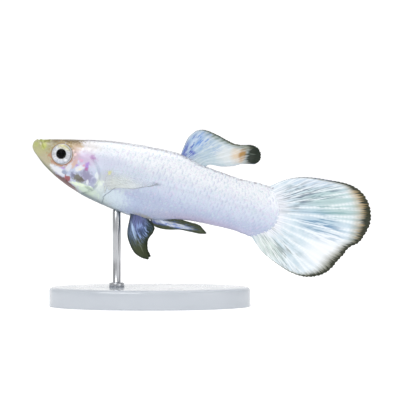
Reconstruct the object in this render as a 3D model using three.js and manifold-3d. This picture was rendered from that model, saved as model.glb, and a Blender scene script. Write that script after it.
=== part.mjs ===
// A male fancy guppy, life size, swimming head up on a small display stand.
// Millimetres, +Z up. The fish faces -X, and its left side faces -Y.
// Every part of the fish is modelled in the fish's own frame: x runs from the snout tip to the
// tail along the body, y is sideways and z is towards the back. One group then pitches it.
import * as THREE from "three";
import { mergeVertices } from "three/addons/utils/BufferGeometryUtils.js";
import Module from "manifold-3d";

const wasm = await Module();
wasm.setup();

// Driving dimensions
const PITCH = THREE.MathUtils.degToRad(18); // head up
const SNOUT = new THREE.Vector3(-21.022, 0, 20); // the snout tip's place above the floor
const GAP = 0.3; // between parts that touch
const MEMBRANE = 0.5; // fin membrane thickness
const RAY_RIDGE = 0.2; // how far a fin ray stands out of each face of its membrane
const EDGE_THICKNESS = 0.2; // fin thickness along its free edge
const FAR = 60; // larger than the fish, for cutting tools
const SLIVER = 0.01; // detail smaller than this is dropped after a cut

// The back, belly and half width of the body at a distance from the snout tip
const BACK = [
  [0, 0.15], [0.07, 0.55], [0.4, 0.86], [1, 1.07], [2.5, 1.58], [5.5, 2.5],
  [9.4, 3.55], [14.1, 4.32], [17.6, 4.62], [20.9, 4.15], [26, 3.98], [29.6, 4.2], [33, 4.3],
];
const BELLY = [
  [0, 0.15], [0.08, -0.24], [0.95, -1.08], [3, -2.37], [5.7, -3.44], [9, -4.18],
  [13.9, -4.56], [16.9, -4.2], [20.8, -2.98], [25, -2.5], [28.4, -2.33], [33, -2.55],
];
const HALF_WIDTH = [
  [0, 0], [0.1, 0.5], [0.4, 0.85], [1, 1.12], [2.4, 1.5], [3.7, 1.75], [5.5, 2.12],
  [8, 2.45], [12, 2.6], [15, 2.48], [18, 2.15], [21, 1.75], [24, 1.37], [27, 1.02],
  [29.5, 0.7], [33, 0.42],
];
// Where the body is widest, as a share of its depth up from the belly
const WIDEST = [[0, 0.5], [3, 0.66], [6, 0.62], [11, 0.52], [33, 0.5]];
// Roundness of the section above and below that: 2 is an ellipse, more is squarer
const ROUND_ABOVE = [[0, 2.2], [3.5, 2.9], [8, 2.5], [16, 2.1], [33, 2]];
const ROUND_BELOW = [[0, 2], [4, 1.75], [10, 1.9], [16, 2.1], [33, 2]];

// A smooth curve through points that never swings past them. Distances count by their
// square root, which rounds the snout.
function profile(points) {
  const x = points.map((p) => Math.sqrt(p[0]));
  const y = points.map((p) => p[1]);
  const rise = y.slice(1).map((v, i) => (v - y[i]) / (x[i + 1] - x[i]));
  const slope = y.map((_, i) => {
    if (i === 0) return rise[0];
    if (i === y.length - 1) return rise[i - 1];
    if (rise[i - 1] * rise[i] <= 0) return 0;
    return (2 * rise[i - 1] * rise[i]) / (rise[i - 1] + rise[i]);
  });
  return (distance) => {
    const q = Math.sqrt(THREE.MathUtils.clamp(distance, points[0][0], points.at(-1)[0]));
    let i = 0;
    while (i < x.length - 2 && q > x[i + 1]) i += 1;
    const width = x[i + 1] - x[i];
    const t = (q - x[i]) / width;
    const ends = y[i] * (1 + 2 * t) * (1 - t) ** 2 + y[i + 1] * t * t * (3 - 2 * t);
    return ends + width * (slope[i] * t * (1 - t) ** 2 - slope[i + 1] * t * t * (1 - t));
  };
}

const back = profile(BACK);
const belly = profile(BELLY);
const halfWidth = profile(HALF_WIDTH);
const widest = profile(WIDEST);
const roundAbove = profile(ROUND_ABOVE);
const roundBelow = profile(ROUND_BELOW);

// A point of the skin at a distance from the snout and an angle round the section, from the
// left side (-y) up over the back. grow moves the skin outwards.
function skinPoint(distance, angle, grow = 0) {
  const high = back(distance) + grow;
  const low = belly(distance) - grow;
  const middle = low + (high - low) * widest(distance);
  const c = Math.cos(angle);
  const s = Math.sin(angle);
  const power = 2 / (s > 0 ? roundAbove(distance) : roundBelow(distance));
  const y = -Math.sign(c) * (halfWidth(distance) + grow) * Math.abs(c) ** power;
  const z = middle + (s > 0 ? high - middle : low - middle) * Math.abs(s) ** power;
  return new THREE.Vector3(distance, y, z);
}

// Half the body's width at a distance from the snout and a height
function skinSide(distance, height) {
  const high = back(distance);
  const low = belly(distance);
  const middle = low + (high - low) * widest(distance);
  const n = height > middle ? roundAbove(distance) : roundBelow(distance);
  const reach = height > middle ? high - middle : middle - low;
  const share = Math.min(Math.abs(height - middle) / reach, 1);
  return halfWidth(distance) * (1 - share ** n) ** (1 / n);
}

// Solids: a three.js geometry becomes a manifold solid for joining and cutting, and back.
// Its corners are merged, and triangles without width at a pole are left out.
const MERGE = 1e-4;

function solid(geometry) {
  const bare = new THREE.BufferGeometry();
  bare.setAttribute("position", geometry.getAttribute("position"));
  bare.setIndex(geometry.index);
  const merged = mergeVertices(bare, MERGE);
  const corners = [];
  for (let i = 0; i < merged.index.count; i += 3) {
    const [a, b, c] = merged.index.array.slice(i, i + 3);
    if (a !== b && b !== c && c !== a) corners.push(a, b, c);
  }
  return new wasm.Manifold(
    new wasm.Mesh({
      numProp: 3,
      vertProperties: new Float32Array(merged.getAttribute("position").array),
      triVerts: new Uint32Array(corners),
    }),
  );
}

// The largest closed surface of a shape, without the slivers that cuts leave along their edges
function largest(shape) {
  const pieces = shape.decompose().sort((a, b) => b.volume() - a.volume());
  return pieces[0].simplify(SLIVER);
}

function geometryOf(shape) {
  const mesh = shape.getMesh();
  const geometry = new THREE.BufferGeometry();
  geometry.setAttribute("position", new THREE.BufferAttribute(mesh.vertProperties, 3));
  geometry.setIndex(new THREE.BufferAttribute(mesh.triVerts, 1));
  geometry.computeVertexNormals();
  return geometry;
}

// A closed surface from rings of points, with a fan over each end
function loft(rings) {
  const sides = rings[0].length;
  const middleOf = (ring) =>
    ring.reduce((sum, p) => sum.add(p), new THREE.Vector3()).divideScalar(sides);
  const points = [...rings.flat(), middleOf(rings[0]), middleOf(rings.at(-1))];
  const first = rings.length * sides;
  const index = [];
  for (let k = 0; k < sides; k += 1) {
    const next = (k + 1) % sides;
    index.push(first, k, next);
    index.push(first + 1, first - sides + next, first - sides + k);
    for (let i = 0; i < rings.length - 1; i += 1) {
      const a = i * sides + k;
      const b = i * sides + next;
      index.push(a, a + sides, b);
      index.push(b, a + sides, b + sides);
    }
  }
  return new THREE.BufferGeometry().setFromPoints(points).setIndex(index);
}

// A block as wide as the fish whose side view is an outline of [x, z] points
function block(outline) {
  const shape = new THREE.Shape(outline.map(([x, z]) => new THREE.Vector2(x, z)));
  const geometry = new THREE.ExtrudeGeometry(shape, { depth: 2 * FAR, bevelEnabled: false });
  geometry.rotateX(Math.PI / 2);
  geometry.translate(0, FAR, 0);
  return solid(geometry);
}

// Points evenly spaced along a smooth curve through the given points
function through(points, steps) {
  const curve = new THREE.CatmullRomCurve3(
    points.map(([x, z]) => new THREE.Vector3(x, 0, z)),
    false,
    "centripetal",
  );
  return curve.getSpacedPoints(steps).map((p) => [p.x, p.z]);
}

function shifted(points, dx, dz = 0) {
  return points.map(([x, z]) => [x + dx, z + dz]);
}

// A closed outline, listed anticlockwise, moved outwards by a distance
function widened(outline, distance) {
  return outline.map(([x, z], i) => {
    const [xBefore, zBefore] = outline.at(i - 1);
    const [xAfter, zAfter] = outline[(i + 1) % outline.length];
    const share = distance / Math.hypot(xAfter - xBefore, zAfter - zBefore);
    return [x + (zAfter - zBefore) * share, z - (xAfter - xBefore) * share];
  });
}

// Everything on one side of the middle plane, from a distance out
function beside(side, distance) {
  const box = new THREE.BoxGeometry(2 * FAR, FAR, 2 * FAR);
  box.translate(0, side * (FAR / 2 + distance), 0);
  return solid(box);
}

// Body
const STATIONS = 38;
const SIDES = 24;
const LOFT_END = 32.8;
const FIRST_STATION = 0.012; // share of the loft's length, squared, where the snout's cap starts

function wholeBody(grow) {
  const rings = [];
  for (let i = 0; i <= STATIONS; i += 1) {
    const distance = LOFT_END * Math.max(i / STATIONS, FIRST_STATION) ** 2;
    const ring = [];
    for (let k = 0; k < SIDES; k += 1) {
      ring.push(skinPoint(distance, ((k + 0.5) * 2 * Math.PI) / SIDES, grow));
    }
    rings.push(ring);
  }
  return solid(loft(rings));
}

const body = wholeBody(0);
const clearance = wholeBody(GAP);

// The tail stalk's rounded end, where the caudal fin's rays start
const STALK_END = [
  [29.4, 6], [29.9, 4.3], [30.9, 3.2], [31.6, 1.6], [31.6, 0.3], [31, -1.1], [29.9, -2.3],
  [29.4, -5],
];
// The head's back edge: the nape, then the free edge of the gill cover, then the throat
const HEAD_END = [
  [8.2, 7], [8.1, 2.9], [7.7, 0.9], [8.9, -0.5], [9.2, -1.6], [8.6, -3], [7.6, -3.7], [7, -7],
];
const TORSO_END = [[21.6, 7], [21.2, 0.6], [21.6, -7]];
// The gape runs down and back from the notch between the lips to the corner of the mouth
const GAPE = [[0.1, 1.35], [0.56, 0.92], [1.02, 0.6], [1.5, 0.16]];
const JAW_END = [[1.5, 0.16], [1.75, -0.7], [1.9, -3]];

// Everything in front of an edge that is listed from the top down
function ahead(edge) {
  return block([...edge, [-FAR, edge.at(-1)[1]], [-FAR, edge[0][1]]]);
}

const headEnd = through(HEAD_END, 16);
const torsoEnd = through(TORSO_END, 4);
const stalkEnd = through(STALK_END, 14);
const headRegion = ahead(headEnd);
const jawOutline = [...through(GAPE, 6), ...through(JAW_END, 4).slice(1)];
const jawRegion = ahead(jawOutline);
const gapeTop = [GAPE[0][0] + GAP, GAPE[0][1] + GAP];
const jawClearance = ahead([gapeTop, ...shifted(jawOutline, GAP, 0.05)]);

// Lips: a rounded band along each side of the gape, from corner to corner round the snout
const LIP_RADIUS = 0.2;
const LIP_INSET = 0.97; // share of the skin's half width
const UPPER_LIP_SHIFT = [0.24, 0.16];
const LOWER_LIP_SHIFT = [-0.16, -0.1];

function lip(shift) {
  const side = shifted(through(GAPE.slice(1), 6), ...shift);
  const left = side.map(([x, z]) => new THREE.Vector3(x, -skinSide(x, z) * LIP_INSET, z));
  const right = left.map((p) => new THREE.Vector3(p.x, -p.y, p.z));
  const path = new THREE.CatmullRomCurve3([...left.reverse(), ...right]);
  const round = new THREE.Shape();
  round.absarc(0, 0, LIP_RADIUS, 0, 2 * Math.PI);
  const band = { steps: 20, curveSegments: 3, extrudePath: path, bevelEnabled: false };
  return solid(new THREE.ExtrudeGeometry(round, band));
}

// Eyes: turned from profiles of [radius, distance out of the eye's centre]. The iris is a flat
// ring round the raised cornea, and the socket is a cup a gap wider than the ball.
const EYE = new THREE.Vector3(3.82, 1.25, 0.1);
const EYE_TURN = 0.19; // radians forwards, with the cheek
const EYE_PROFILE = [
  [0, 0.98], [0.3, 0.95], [0.56, 0.84], [0.68, 0.72], [0.95, 0.66], [1.15, 0.5],
  [1.25, 0.2], [1.2, -0.15], [1, -0.5], [0.6, -0.75], [0, -0.82],
];
const SOCKET_PROFILE = [
  [0, 2], [1.55, 2], [1.55, -0.15], [1.3, -0.62], [0.8, -1], [0, -1.12],
];
const ORBIT = { radius: 1.67, tube: 0.22, inset: 0.12 };
const EYE_SEGMENTS = 24;

function atEye(geometry, side, out = EYE.y) {
  if (side < 0) geometry.rotateX(Math.PI);
  geometry.rotateZ(side * EYE_TURN);
  geometry.translate(EYE.x, side * out, EYE.z);
  return solid(geometry);
}

function turned(outline) {
  const points = outline.map(([radius, out]) => new THREE.Vector2(radius, out)).reverse();
  return new THREE.LatheGeometry(points, EYE_SEGMENTS);
}

function eye(side) {
  return atEye(turned(EYE_PROFILE), side);
}

function socket(side) {
  return atEye(turned(SOCKET_PROFILE), side);
}

// The fold of skin round the eye
function orbitRim(side) {
  const ring = new THREE.TorusGeometry(ORBIT.radius, ORBIT.tube, 5, EYE_SEGMENTS);
  ring.rotateX(Math.PI / 2);
  return atEye(ring, side, skinSide(EYE.x, EYE.z) - ORBIT.inset);
}

// Nostrils: a pit with a low rim, in front of the eye on the top of the snout
const NOSTRIL = new THREE.Vector3(1.75, 0.72, 1.2);
const NOSTRIL_PIT = new THREE.Vector3(1.7, 0.84, 1.42);
const NOSTRIL_RIM_RADIUS = 0.3;
const NOSTRIL_PIT_RADIUS = 0.18;

function ball(centre, side, radius) {
  const geometry = new THREE.SphereGeometry(radius, 8, 6);
  geometry.translate(centre.x, side * centre.y, centre.z);
  return solid(geometry);
}

// Gill covers: plates that stand out of the cheek, each inlaid in a pocket of the head. They stop
// short of the keel, and their free edge is the head's back edge.
const COVER_RISE = 0.22;
const COVER_DEPTH = 0.42;
const COVER_FRONT = [[7.5, 1], [6.1, 0.7], [5.65, -0.4], [5.7, -1.7], [6.3, -2.7], [7.6, -3.2]];
const COVER_BACK = [[9.6, -3.1], [10, -1], [9.2, 1]];
const KEEL_HALF_WIDTH = 0.35;
const POCKET_REACH = 1; // how far the pocket's cutting shell stands out of the skin
const coverOutline = [...through(COVER_FRONT, 12), ...COVER_BACK];
const coverShell = wholeBody(COVER_RISE).subtract(wholeBody(-COVER_DEPTH));
const pocketShell = wholeBody(POCKET_REACH).subtract(wholeBody(-COVER_DEPTH - GAP));
const coverPlates = coverShell.intersect(block(coverOutline)).intersect(headRegion);
const pockets = pocketShell.intersect(block(widened(coverOutline, GAP)));

function gillCover(side) {
  return largest(coverPlates.intersect(beside(side, KEEL_HALF_WIDTH + GAP)));
}

function head() {
  let shape = body.intersect(headRegion).add(lip(UPPER_LIP_SHIFT));
  for (const side of [1, -1]) {
    shape = shape.add(orbitRim(side)).add(ball(NOSTRIL, side, NOSTRIL_RIM_RADIUS));
  }
  shape = shape.subtract(jawClearance);
  for (const side of [1, -1]) {
    shape = shape.subtract(socket(side)).subtract(ball(NOSTRIL_PIT, side, NOSTRIL_PIT_RADIUS));
    shape = shape.subtract(pockets.intersect(beside(side, KEEL_HALF_WIDTH)));
  }
  return largest(shape);
}

function lowerJaw() {
  return largest(body.add(lip(LOWER_LIP_SHIFT)).intersect(jawRegion));
}

function torso() {
  return largest(body.intersect(ahead(torsoEnd)).subtract(ahead(shifted(headEnd, GAP))));
}

function tailStalk() {
  return largest(body.intersect(ahead(stalkEnd)).subtract(ahead(shifted(torsoEnd, GAP))));
}

// Fins
// A fin is a patch between four edges in side view: its root, its free margin, and the first and
// last ray. s runs across the rays and t from the root to the margin, and a point is the blend of
// the four edges (a Coons patch). With the margin up, the first ray is on the left. Each ray is a
// ridge on both faces that rises past the fin's fleshy root.
function finPoint(fin, s, t) {
  const corner = (curve, share, weight) => curve.getPoint(share).multiplyScalar(weight);
  const point = fin.root.getPointAt(s).multiplyScalar(1 - t);
  point.add(fin.margin.getPointAt(s).multiplyScalar(t));
  point.add(fin.first.getPointAt(t).multiplyScalar(1 - s));
  point.add(fin.last.getPointAt(t).multiplyScalar(s));
  point.sub(corner(fin.root, 0, (1 - s) * (1 - t))).sub(corner(fin.root, 1, s * (1 - t)));
  return point.sub(corner(fin.margin, 0, (1 - s) * t)).sub(corner(fin.margin, 1, s * t));
}

function edge(points) {
  const vectors = points.map(([x, z]) => new THREE.Vector3(x, 0, z));
  return new THREE.CatmullRomCurve3(vectors, false, "centripetal");
}

const ROOT_SHARE = 0.3; // the part of a fin's length that is thickened at its root
const RIDGE_START = 0.2; // where the rays reach their full height, from the root
const RIDGE_FADE = 0.35; // how much lower they are at the margin

// The fin's thickness sideways, on a ray or on the membrane between two rays
function finThickness(fin, onRay, t) {
  if (t === 1) return EDGE_THICKNESS;
  const root = (fin.rootThickness - MEMBRANE) * Math.max(1 - t / ROOT_SHARE, 0);
  const ridge = RAY_RIDGE * THREE.MathUtils.smoothstep(t, 0, RIDGE_START) * (1 - RIDGE_FADE * t);
  return (MEMBRANE + root + (onRay ? 2 * ridge : 0)) / Math.cos(fin.splay ?? 0);
}

// A closed plate between two faces on the same grid, both split into triangles alike
function finSolid(fin) {
  const columns = 2 * (fin.rays - 1);
  const rows = fin.rows;
  const left = [];
  const right = [];
  for (let j = 0; j <= rows; j += 1) {
    const t = j / rows;
    for (let i = 0; i <= columns; i += 1) {
      const s = i / columns;
      const point = finPoint(fin, s, t);
      const y = fin.sideways(s, t, point);
      const half = finThickness(fin, i % 2 === 0, t) / 2;
      left.push(point.clone().setY(y - half));
      right.push(point.clone().setY(y + half));
    }
  }
  const across = columns + 1;
  const other = left.length;
  const index = [];
  for (let j = 0; j < rows; j += 1) {
    for (let i = 0; i < columns; i += 1) {
      const a = j * across + i;
      const b = a + 1;
      const c = b + across;
      const d = a + across;
      index.push(a, b, c, a, c, d);
      index.push(other + a, other + c, other + b, other + a, other + d, other + c);
    }
  }
  const rim = [];
  for (let i = 0; i < columns; i += 1) rim.push(i);
  for (let j = 0; j < rows; j += 1) rim.push(j * across + columns);
  for (let i = columns; i > 0; i -= 1) rim.push(rows * across + i);
  for (let j = rows; j > 0; j -= 1) rim.push(j * across);
  rim.forEach((a, k) => {
    const b = rim[(k + 1) % rim.length];
    index.push(b, a, other + a, b, other + a, other + b);
  });
  return solid(new THREE.BufferGeometry().setFromPoints([...left, ...right]).setIndex(index));
}

// A fin's root ends a gap away from the skin and from the stalk's end
const bodyAndGap = clearance.intersect(ahead(shifted(stalkEnd, GAP)));

function rooted(finShape) {
  return largest(finShape.subtract(bodyAndGap));
}

const DORSAL = {
  rays: 9,
  rows: 9,
  rootThickness: 0.8,
  root: edge([[17.85, 4.1], [19.3, 3.9], [20.95, 3.6]]),
  first: edge([[17.85, 4.1], [17.9, 5.6], [18.1, 6.9], [18.75, 8]]),
  margin: edge([
    [18.75, 8], [19.6, 8.4], [21.3, 8.32], [23.6, 7.94], [24.6, 8.04], [25.8, 8.42],
    [26.8, 8.32], [27.35, 7.65], [27.4, 6.85], [27, 6.28],
  ]),
  last: edge([[20.95, 3.6], [21.5, 4.4], [23.1, 4.72], [24.6, 5.3], [25.4, 5.8], [27, 6.28]]),
  sideways: (s, t) => 0.22 * t * t * Math.sin(2.2 * Math.PI * s),
};

const CAUDAL = {
  rays: 19,
  rows: 12,
  rootThickness: 0.9,
  root: edge([[28.9, 3.8], [30.4, 2.9], [30.95, 1], [30.4, -0.7], [28.8, -2]]),
  first: edge([[28.9, 3.8], [29.7, 4.4]]),
  margin: edge([
    [29.7, 4.4], [31, 5.5], [33, 6.56], [36.3, 7.26], [39.3, 7.5], [41, 6.94], [42.2, 5.75],
    [42.85, 4.1], [42.9, 2.7], [42.3, 1.05], [41.3, -0.15], [40.75, -1.5], [40.1, -3],
    [39.1, -4.25], [37.6, -5.05], [35.7, -5.2], [33.3, -4.62], [31.1, -3.74], [29.5, -2.55],
  ]),
  last: edge([[28.8, -2], [29.5, -2.55]]),
  sideways: (s, t) => {
    const sweep = 0.5 * t * t * Math.sin(1.3 * Math.PI * s + 0.5);
    return sweep + 0.1 * t * Math.sin(7 * Math.PI * s);
  },
};

// The male's anal fin, a narrow rod that lies back under the belly
const ANAL = {
  rays: 5,
  rows: 12,
  rootThickness: 0.6,
  root: edge([[19.8, -2.9], [18.3, -3.3], [16.7, -3.95]]),
  first: edge([[19.8, -2.9], [20.6, -3.05], [21.6, -3.04], [22.4, -3], [22.9, -3.08]]),
  margin: edge([[22.9, -3.08], [23.3, -3.34], [23.9, -3.74], [23.5, -3.94], [23, -4.08]]),
  last: edge([
    [16.7, -3.95], [16.85, -4.55], [17.5, -4.9], [18.5, -4.92], [19.5, -4.7], [20.5, -4.36],
    [21.8, -4.2], [23, -4.08],
  ]),
  sideways: () => 0,
};

// Pelvic fins hang from the belly and splay outwards. The right one trails a little more.
const PELVIC = {
  rays: 6,
  rows: 9,
  rootThickness: 0.8,
  splay: THREE.MathUtils.degToRad(16),
  root: edge([[15.9, -3.9], [15, -3.95], [14.1, -3.9]]),
  first: edge([[15.9, -3.9], [16.5, -4.35], [17.2, -4.8], [17.58, -5.25]]),
  margin: edge([
    [17.58, -5.25], [17.55, -5.75], [17.35, -6.3], [17.26, -6.8], [17.42, -7.45], [17.7, -8.05],
    [18.2, -8.65], [18.05, -8.98],
  ]),
  last: edge([
    [14.1, -3.9], [14.28, -5], [14.42, -6.2], [14.7, -7.05], [15.35, -7.95], [16.2, -8.7],
    [17.1, -8.98], [18.05, -8.98],
  ]),
};
const PELVIC_HINGE = { x: 15, y: 0.72, z: -4.2 };
const PELVIC_TRAIL = -1.5; // degrees about the hinge

function pelvicFin(side) {
  const { x, y, z } = PELVIC_HINGE;
  const sideways = (s, t, point) => side * (y + Math.tan(PELVIC.splay) * (z - point.z));
  const fin = finSolid({ ...PELVIC, sideways });
  if (side < 0) return rooted(fin);
  return rooted(fin.translate([-x, 0, -z]).rotate([0, PELVIC_TRAIL, 0]).translate([x, 0, z]));
}

// Pectoral fins start behind the gill covers and stand off the flanks
const PECTORAL = {
  rays: 11,
  rows: 7,
  rootThickness: 0.7,
  splay: THREE.MathUtils.degToRad(20),
  root: edge([[9.8, -0.35], [10, -1.6], [10.3, -2.9]]),
  first: edge([
    [9.8, -0.35], [10.7, 0.25], [12.2, 0.62], [14.2, 0.66], [15.6, 0.55], [16.5, 0.38],
  ]),
  margin: edge([
    [16.5, 0.38], [15.8, -0.12], [14.8, -0.58], [13.8, -1.14], [12.8, -1.42], [12, -1.62],
    [11.2, -2.05],
  ]),
  last: edge([[10.3, -2.9], [10.6, -2.65], [11.2, -2.05]]),
};
const PECTORAL_FOOT = 0.2; // how far the root's middle stands out of the skin
const PECTORAL_CURL = 0.35;

function pectoralFin(side) {
  const sideways = (s, t, point) => {
    const foot = PECTORAL.root.getPointAt(s);
    const flank = skinSide(foot.x, foot.z) + PECTORAL_FOOT;
    const stand = Math.tan(PECTORAL.splay) * (point.x - foot.x);
    return side * (flank + stand + PECTORAL_CURL * Math.sin(Math.PI * s) * t);
  };
  return rooted(finSolid({ ...PECTORAL, sideways }));
}

// Stand: a low oval base and one rod up to the belly
const BASE = { x: -6.5, halfLength: 12.5, halfWidth: 7, height: 2.4, bevel: 0.5 };
const ROD = { x: -10.6, radius: 0.55, sides: 16 };
const ROD_TOP = 14.5; // inside the belly, before the end is cut to the belly's curve

const fish = new THREE.Group();
fish.rotation.y = PITCH;
fish.position.copy(SNOUT);
fish.updateMatrixWorld(true);

function standBase() {
  const oval = new THREE.Shape();
  oval.absellipse(0, 0, BASE.halfLength - BASE.bevel, BASE.halfWidth - BASE.bevel, 0, 2 * Math.PI);
  const geometry = new THREE.ExtrudeGeometry(oval, {
    depth: BASE.height - BASE.bevel,
    bevelThickness: BASE.bevel,
    bevelSize: BASE.bevel,
    bevelSegments: 2,
    curveSegments: 20,
  });
  const upper = solid(geometry);
  const slab = new THREE.BoxGeometry(4 * BASE.halfLength, 4 * BASE.halfWidth, BASE.height);
  slab.translate(0, 0, BASE.height / 2);
  return upper.intersect(solid(slab));
}

function standRod() {
  const low = BASE.height + GAP;
  const rod = new THREE.CylinderGeometry(ROD.radius, ROD.radius, ROD_TOP - low, ROD.sides);
  rod.rotateX(Math.PI / 2);
  rod.translate(ROD.x, 0, (ROD_TOP + low) / 2);
  const belly = geometryOf(clearance).applyMatrix4(fish.matrixWorld);
  return largest(solid(rod).subtract(solid(belly)));
}

// Materials: pearl-white skin, clear pale blue fins with dark edges, silver eyes
const pearl = new THREE.MeshStandardMaterial({ color: 0xe6e4f0, roughness: 0.35, metalness: 0.1 });
const snoutSkin = new THREE.MeshStandardMaterial({ color: 0xb9b48c, roughness: 0.4, metalness: 0 });
const silver = new THREE.MeshStandardMaterial({ color: 0xd8d6de, roughness: 0.25, metalness: 0.3 });
const paleFin = new THREE.MeshStandardMaterial({ color: 0xc9dce6, roughness: 0.4, metalness: 0 });
const darkFin = new THREE.MeshStandardMaterial({ color: 0x4a5648, roughness: 0.45, metalness: 0 });
const clearFin = new THREE.MeshStandardMaterial({ color: 0xd5d8d2, roughness: 0.4, metalness: 0 });
const acrylic = new THREE.MeshStandardMaterial({ color: 0xf1f3f5, roughness: 0.1, metalness: 0 });
const steel = new THREE.MeshStandardMaterial({ color: 0xb8babd, roughness: 0.3, metalness: 1 });

function add(parent, name, shape, material) {
  const mesh = new THREE.Mesh(geometryOf(shape), material);
  mesh.name = name;
  parent.add(mesh);
  return mesh;
}

const guppy = new THREE.Group();
guppy.add(fish);

add(fish, "head", head(), snoutSkin);
add(fish, "lower_jaw", lowerJaw(), snoutSkin);
add(fish, "torso", torso(), pearl);
add(fish, "tail_stalk", tailStalk(), pearl);
add(fish, "dorsal_fin", rooted(finSolid(DORSAL)), paleFin);
add(fish, "caudal_fin", rooted(finSolid(CAUDAL)), paleFin);
add(fish, "anal_fin", rooted(finSolid(ANAL)), darkFin);
for (const [name, side] of [["left", -1], ["right", 1]]) {
  add(fish, `eye_${name}`, eye(side), silver);
  add(fish, `gill_cover_${name}`, gillCover(side), silver);
  add(fish, `pectoral_fin_${name}`, pectoralFin(side), clearFin);
  add(fish, `pelvic_fin_${name}`, pelvicFin(side), darkFin);
}

const base = add(guppy, "stand_base", standBase(), acrylic);
base.position.set(BASE.x, 0, 0);
add(guppy, "stand_rod", standRod(), steel);

export default guppy;
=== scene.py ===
# %% [markdown]
# # A fancy guppy, life size
# The imported solids give every part's place and size, and this script dresses them: one fine skin,
# hundreds of small scales, thin rayed fins, glassy eyes and the display stand. The first cell
# loads those solids.

# %% Load the imported model
import math

import bmesh
import bpy
import numpy as np
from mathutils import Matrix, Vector


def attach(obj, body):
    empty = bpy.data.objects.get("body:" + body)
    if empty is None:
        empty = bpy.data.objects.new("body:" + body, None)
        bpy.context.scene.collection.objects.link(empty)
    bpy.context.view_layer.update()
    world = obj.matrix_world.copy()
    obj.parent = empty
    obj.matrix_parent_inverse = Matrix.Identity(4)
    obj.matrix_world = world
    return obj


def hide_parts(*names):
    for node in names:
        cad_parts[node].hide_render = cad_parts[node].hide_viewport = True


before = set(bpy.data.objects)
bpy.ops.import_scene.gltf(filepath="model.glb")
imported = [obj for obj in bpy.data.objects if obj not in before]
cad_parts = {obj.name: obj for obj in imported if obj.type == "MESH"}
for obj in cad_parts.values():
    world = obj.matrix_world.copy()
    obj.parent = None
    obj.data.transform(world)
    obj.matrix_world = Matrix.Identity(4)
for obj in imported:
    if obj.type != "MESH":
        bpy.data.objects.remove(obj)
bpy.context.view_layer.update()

print("Nodes:", ", ".join(sorted(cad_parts)))

# %% [markdown]
# ## The fish's own frame
# A fish is easiest to shape lying level. Here x runs from the snout tip to the tail, y is
# sideways with the left side at -y, z is towards the back, and the unit is the millimetre. One
# function then pitches the fish head up, as it swims in the photo, and turns millimetres into
# metres. The eyes, fins and markings all use this frame, so they stay together.

# %% From the fish's frame to the world
PITCH = math.radians(18)
SNOUT = np.array([-21.022, 0, 20])
MM = 0.001


def placed(points):
    """Turn points about Y by the pitch, move them to the snout's place and scale to metres."""
    x, y, z = np.moveaxis(np.asarray(points, float), -1, 0)
    along = x * math.cos(PITCH) + z * math.sin(PITCH)
    up = z * math.cos(PITCH) - x * math.sin(PITCH)
    return (np.stack([along, y, up], axis=-1) + SNOUT) * MM


print("Snout tip in metres:", placed([0, 0, 0]).round(4))

# %% [markdown]
# ## From numbers to meshes
# Every piece below is a surface worked out with numpy: a grid of points, joined by four-sided
# faces. Doing the sums on whole arrays keeps the script fast, and a finer grid costs one number.
# Points that fall together, at a pole or where a tube closes on itself, are merged, which leaves a
# closed skin. An edge that folds back on itself, such as a scale's rim, is kept sharp, so that the
# two faces next to it don't shade each other.

# %% Grids, faces and pieces
WELD = 2e-7
FOLD = math.radians(120)


def grid_faces(rows, columns, first=0):
    """Corners of the faces of a grid listed row by row, counted from the first point's number."""
    i, j = np.meshgrid(np.arange(rows - 1), np.arange(columns - 1), indexing="ij")
    corner = i * columns + j
    corners = [corner, corner + 1, corner + columns + 1, corner + columns]
    return np.stack(corners, axis=-1).reshape(-1, 4) + first


def make_piece(name, points, faces, maps=None, values=None):
    """A piece from points in metres, with its UV maps and its values by point, and doubles merged."""
    mesh = bpy.data.meshes.new(name)
    mesh.from_pydata(points.reshape(-1, 3).tolist(), [], faces.tolist())
    for map_name, coordinates in (maps or {}).items():
        layer = mesh.uv_layers.new(name=map_name)
        layer.data.foreach_set("uv", coordinates.reshape(-1, 2)[faces.ravel()].ravel())
    for value_name, numbers in (values or {}).items():
        attribute = mesh.attributes.new(value_name, "FLOAT", "POINT")
        attribute.data.foreach_set("value", numbers.ravel())
    shape = bmesh.new()
    shape.from_mesh(mesh)
    bmesh.ops.remove_doubles(shape, verts=shape.verts, dist=WELD)
    open_edges = sum(not edge.is_manifold for edge in shape.edges)
    folds = [edge for edge in shape.edges if edge.is_manifold and edge.calc_face_angle() > FOLD]
    for edge in folds:
        edge.smooth = False
    volume = shape.calc_volume(signed=True) / MM**3
    shape.to_mesh(mesh)
    shape.free()
    mesh.shade_smooth()
    piece = bpy.data.objects.new(name, mesh)
    bpy.context.collection.objects.link(piece)
    triangles = sum(len(face.vertices) - 2 for face in mesh.polygons)
    print(f"{name}: {triangles} triangles, {volume:.2f} mm3, {open_edges} open edges")
    return piece


def smooth(value, low, high):
    """0 below low, 1 above high, and the smooth step 3t^2 - 2t^3 between."""
    t = np.clip((value - low) / (high - low), 0, 1)
    return t * t * (3 - 2 * t)


def bell(value, width):
    """A rounded hump exp(-(value/width)^2)."""
    return np.exp(-((value / width) ** 2))


print("A grid of 4 by 3 points has", len(grid_faces(4, 3)), "faces")

# %% [markdown]
# ## Lines seen from the side
# Mouth, gill slit, tail end and fin edges are smooth lines in side view. Each is a centripetal
# Catmull-Rom spline, which passes through every point it is given and doesn't overshoot, so a line
# needs only the few points that its shape has.

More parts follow.
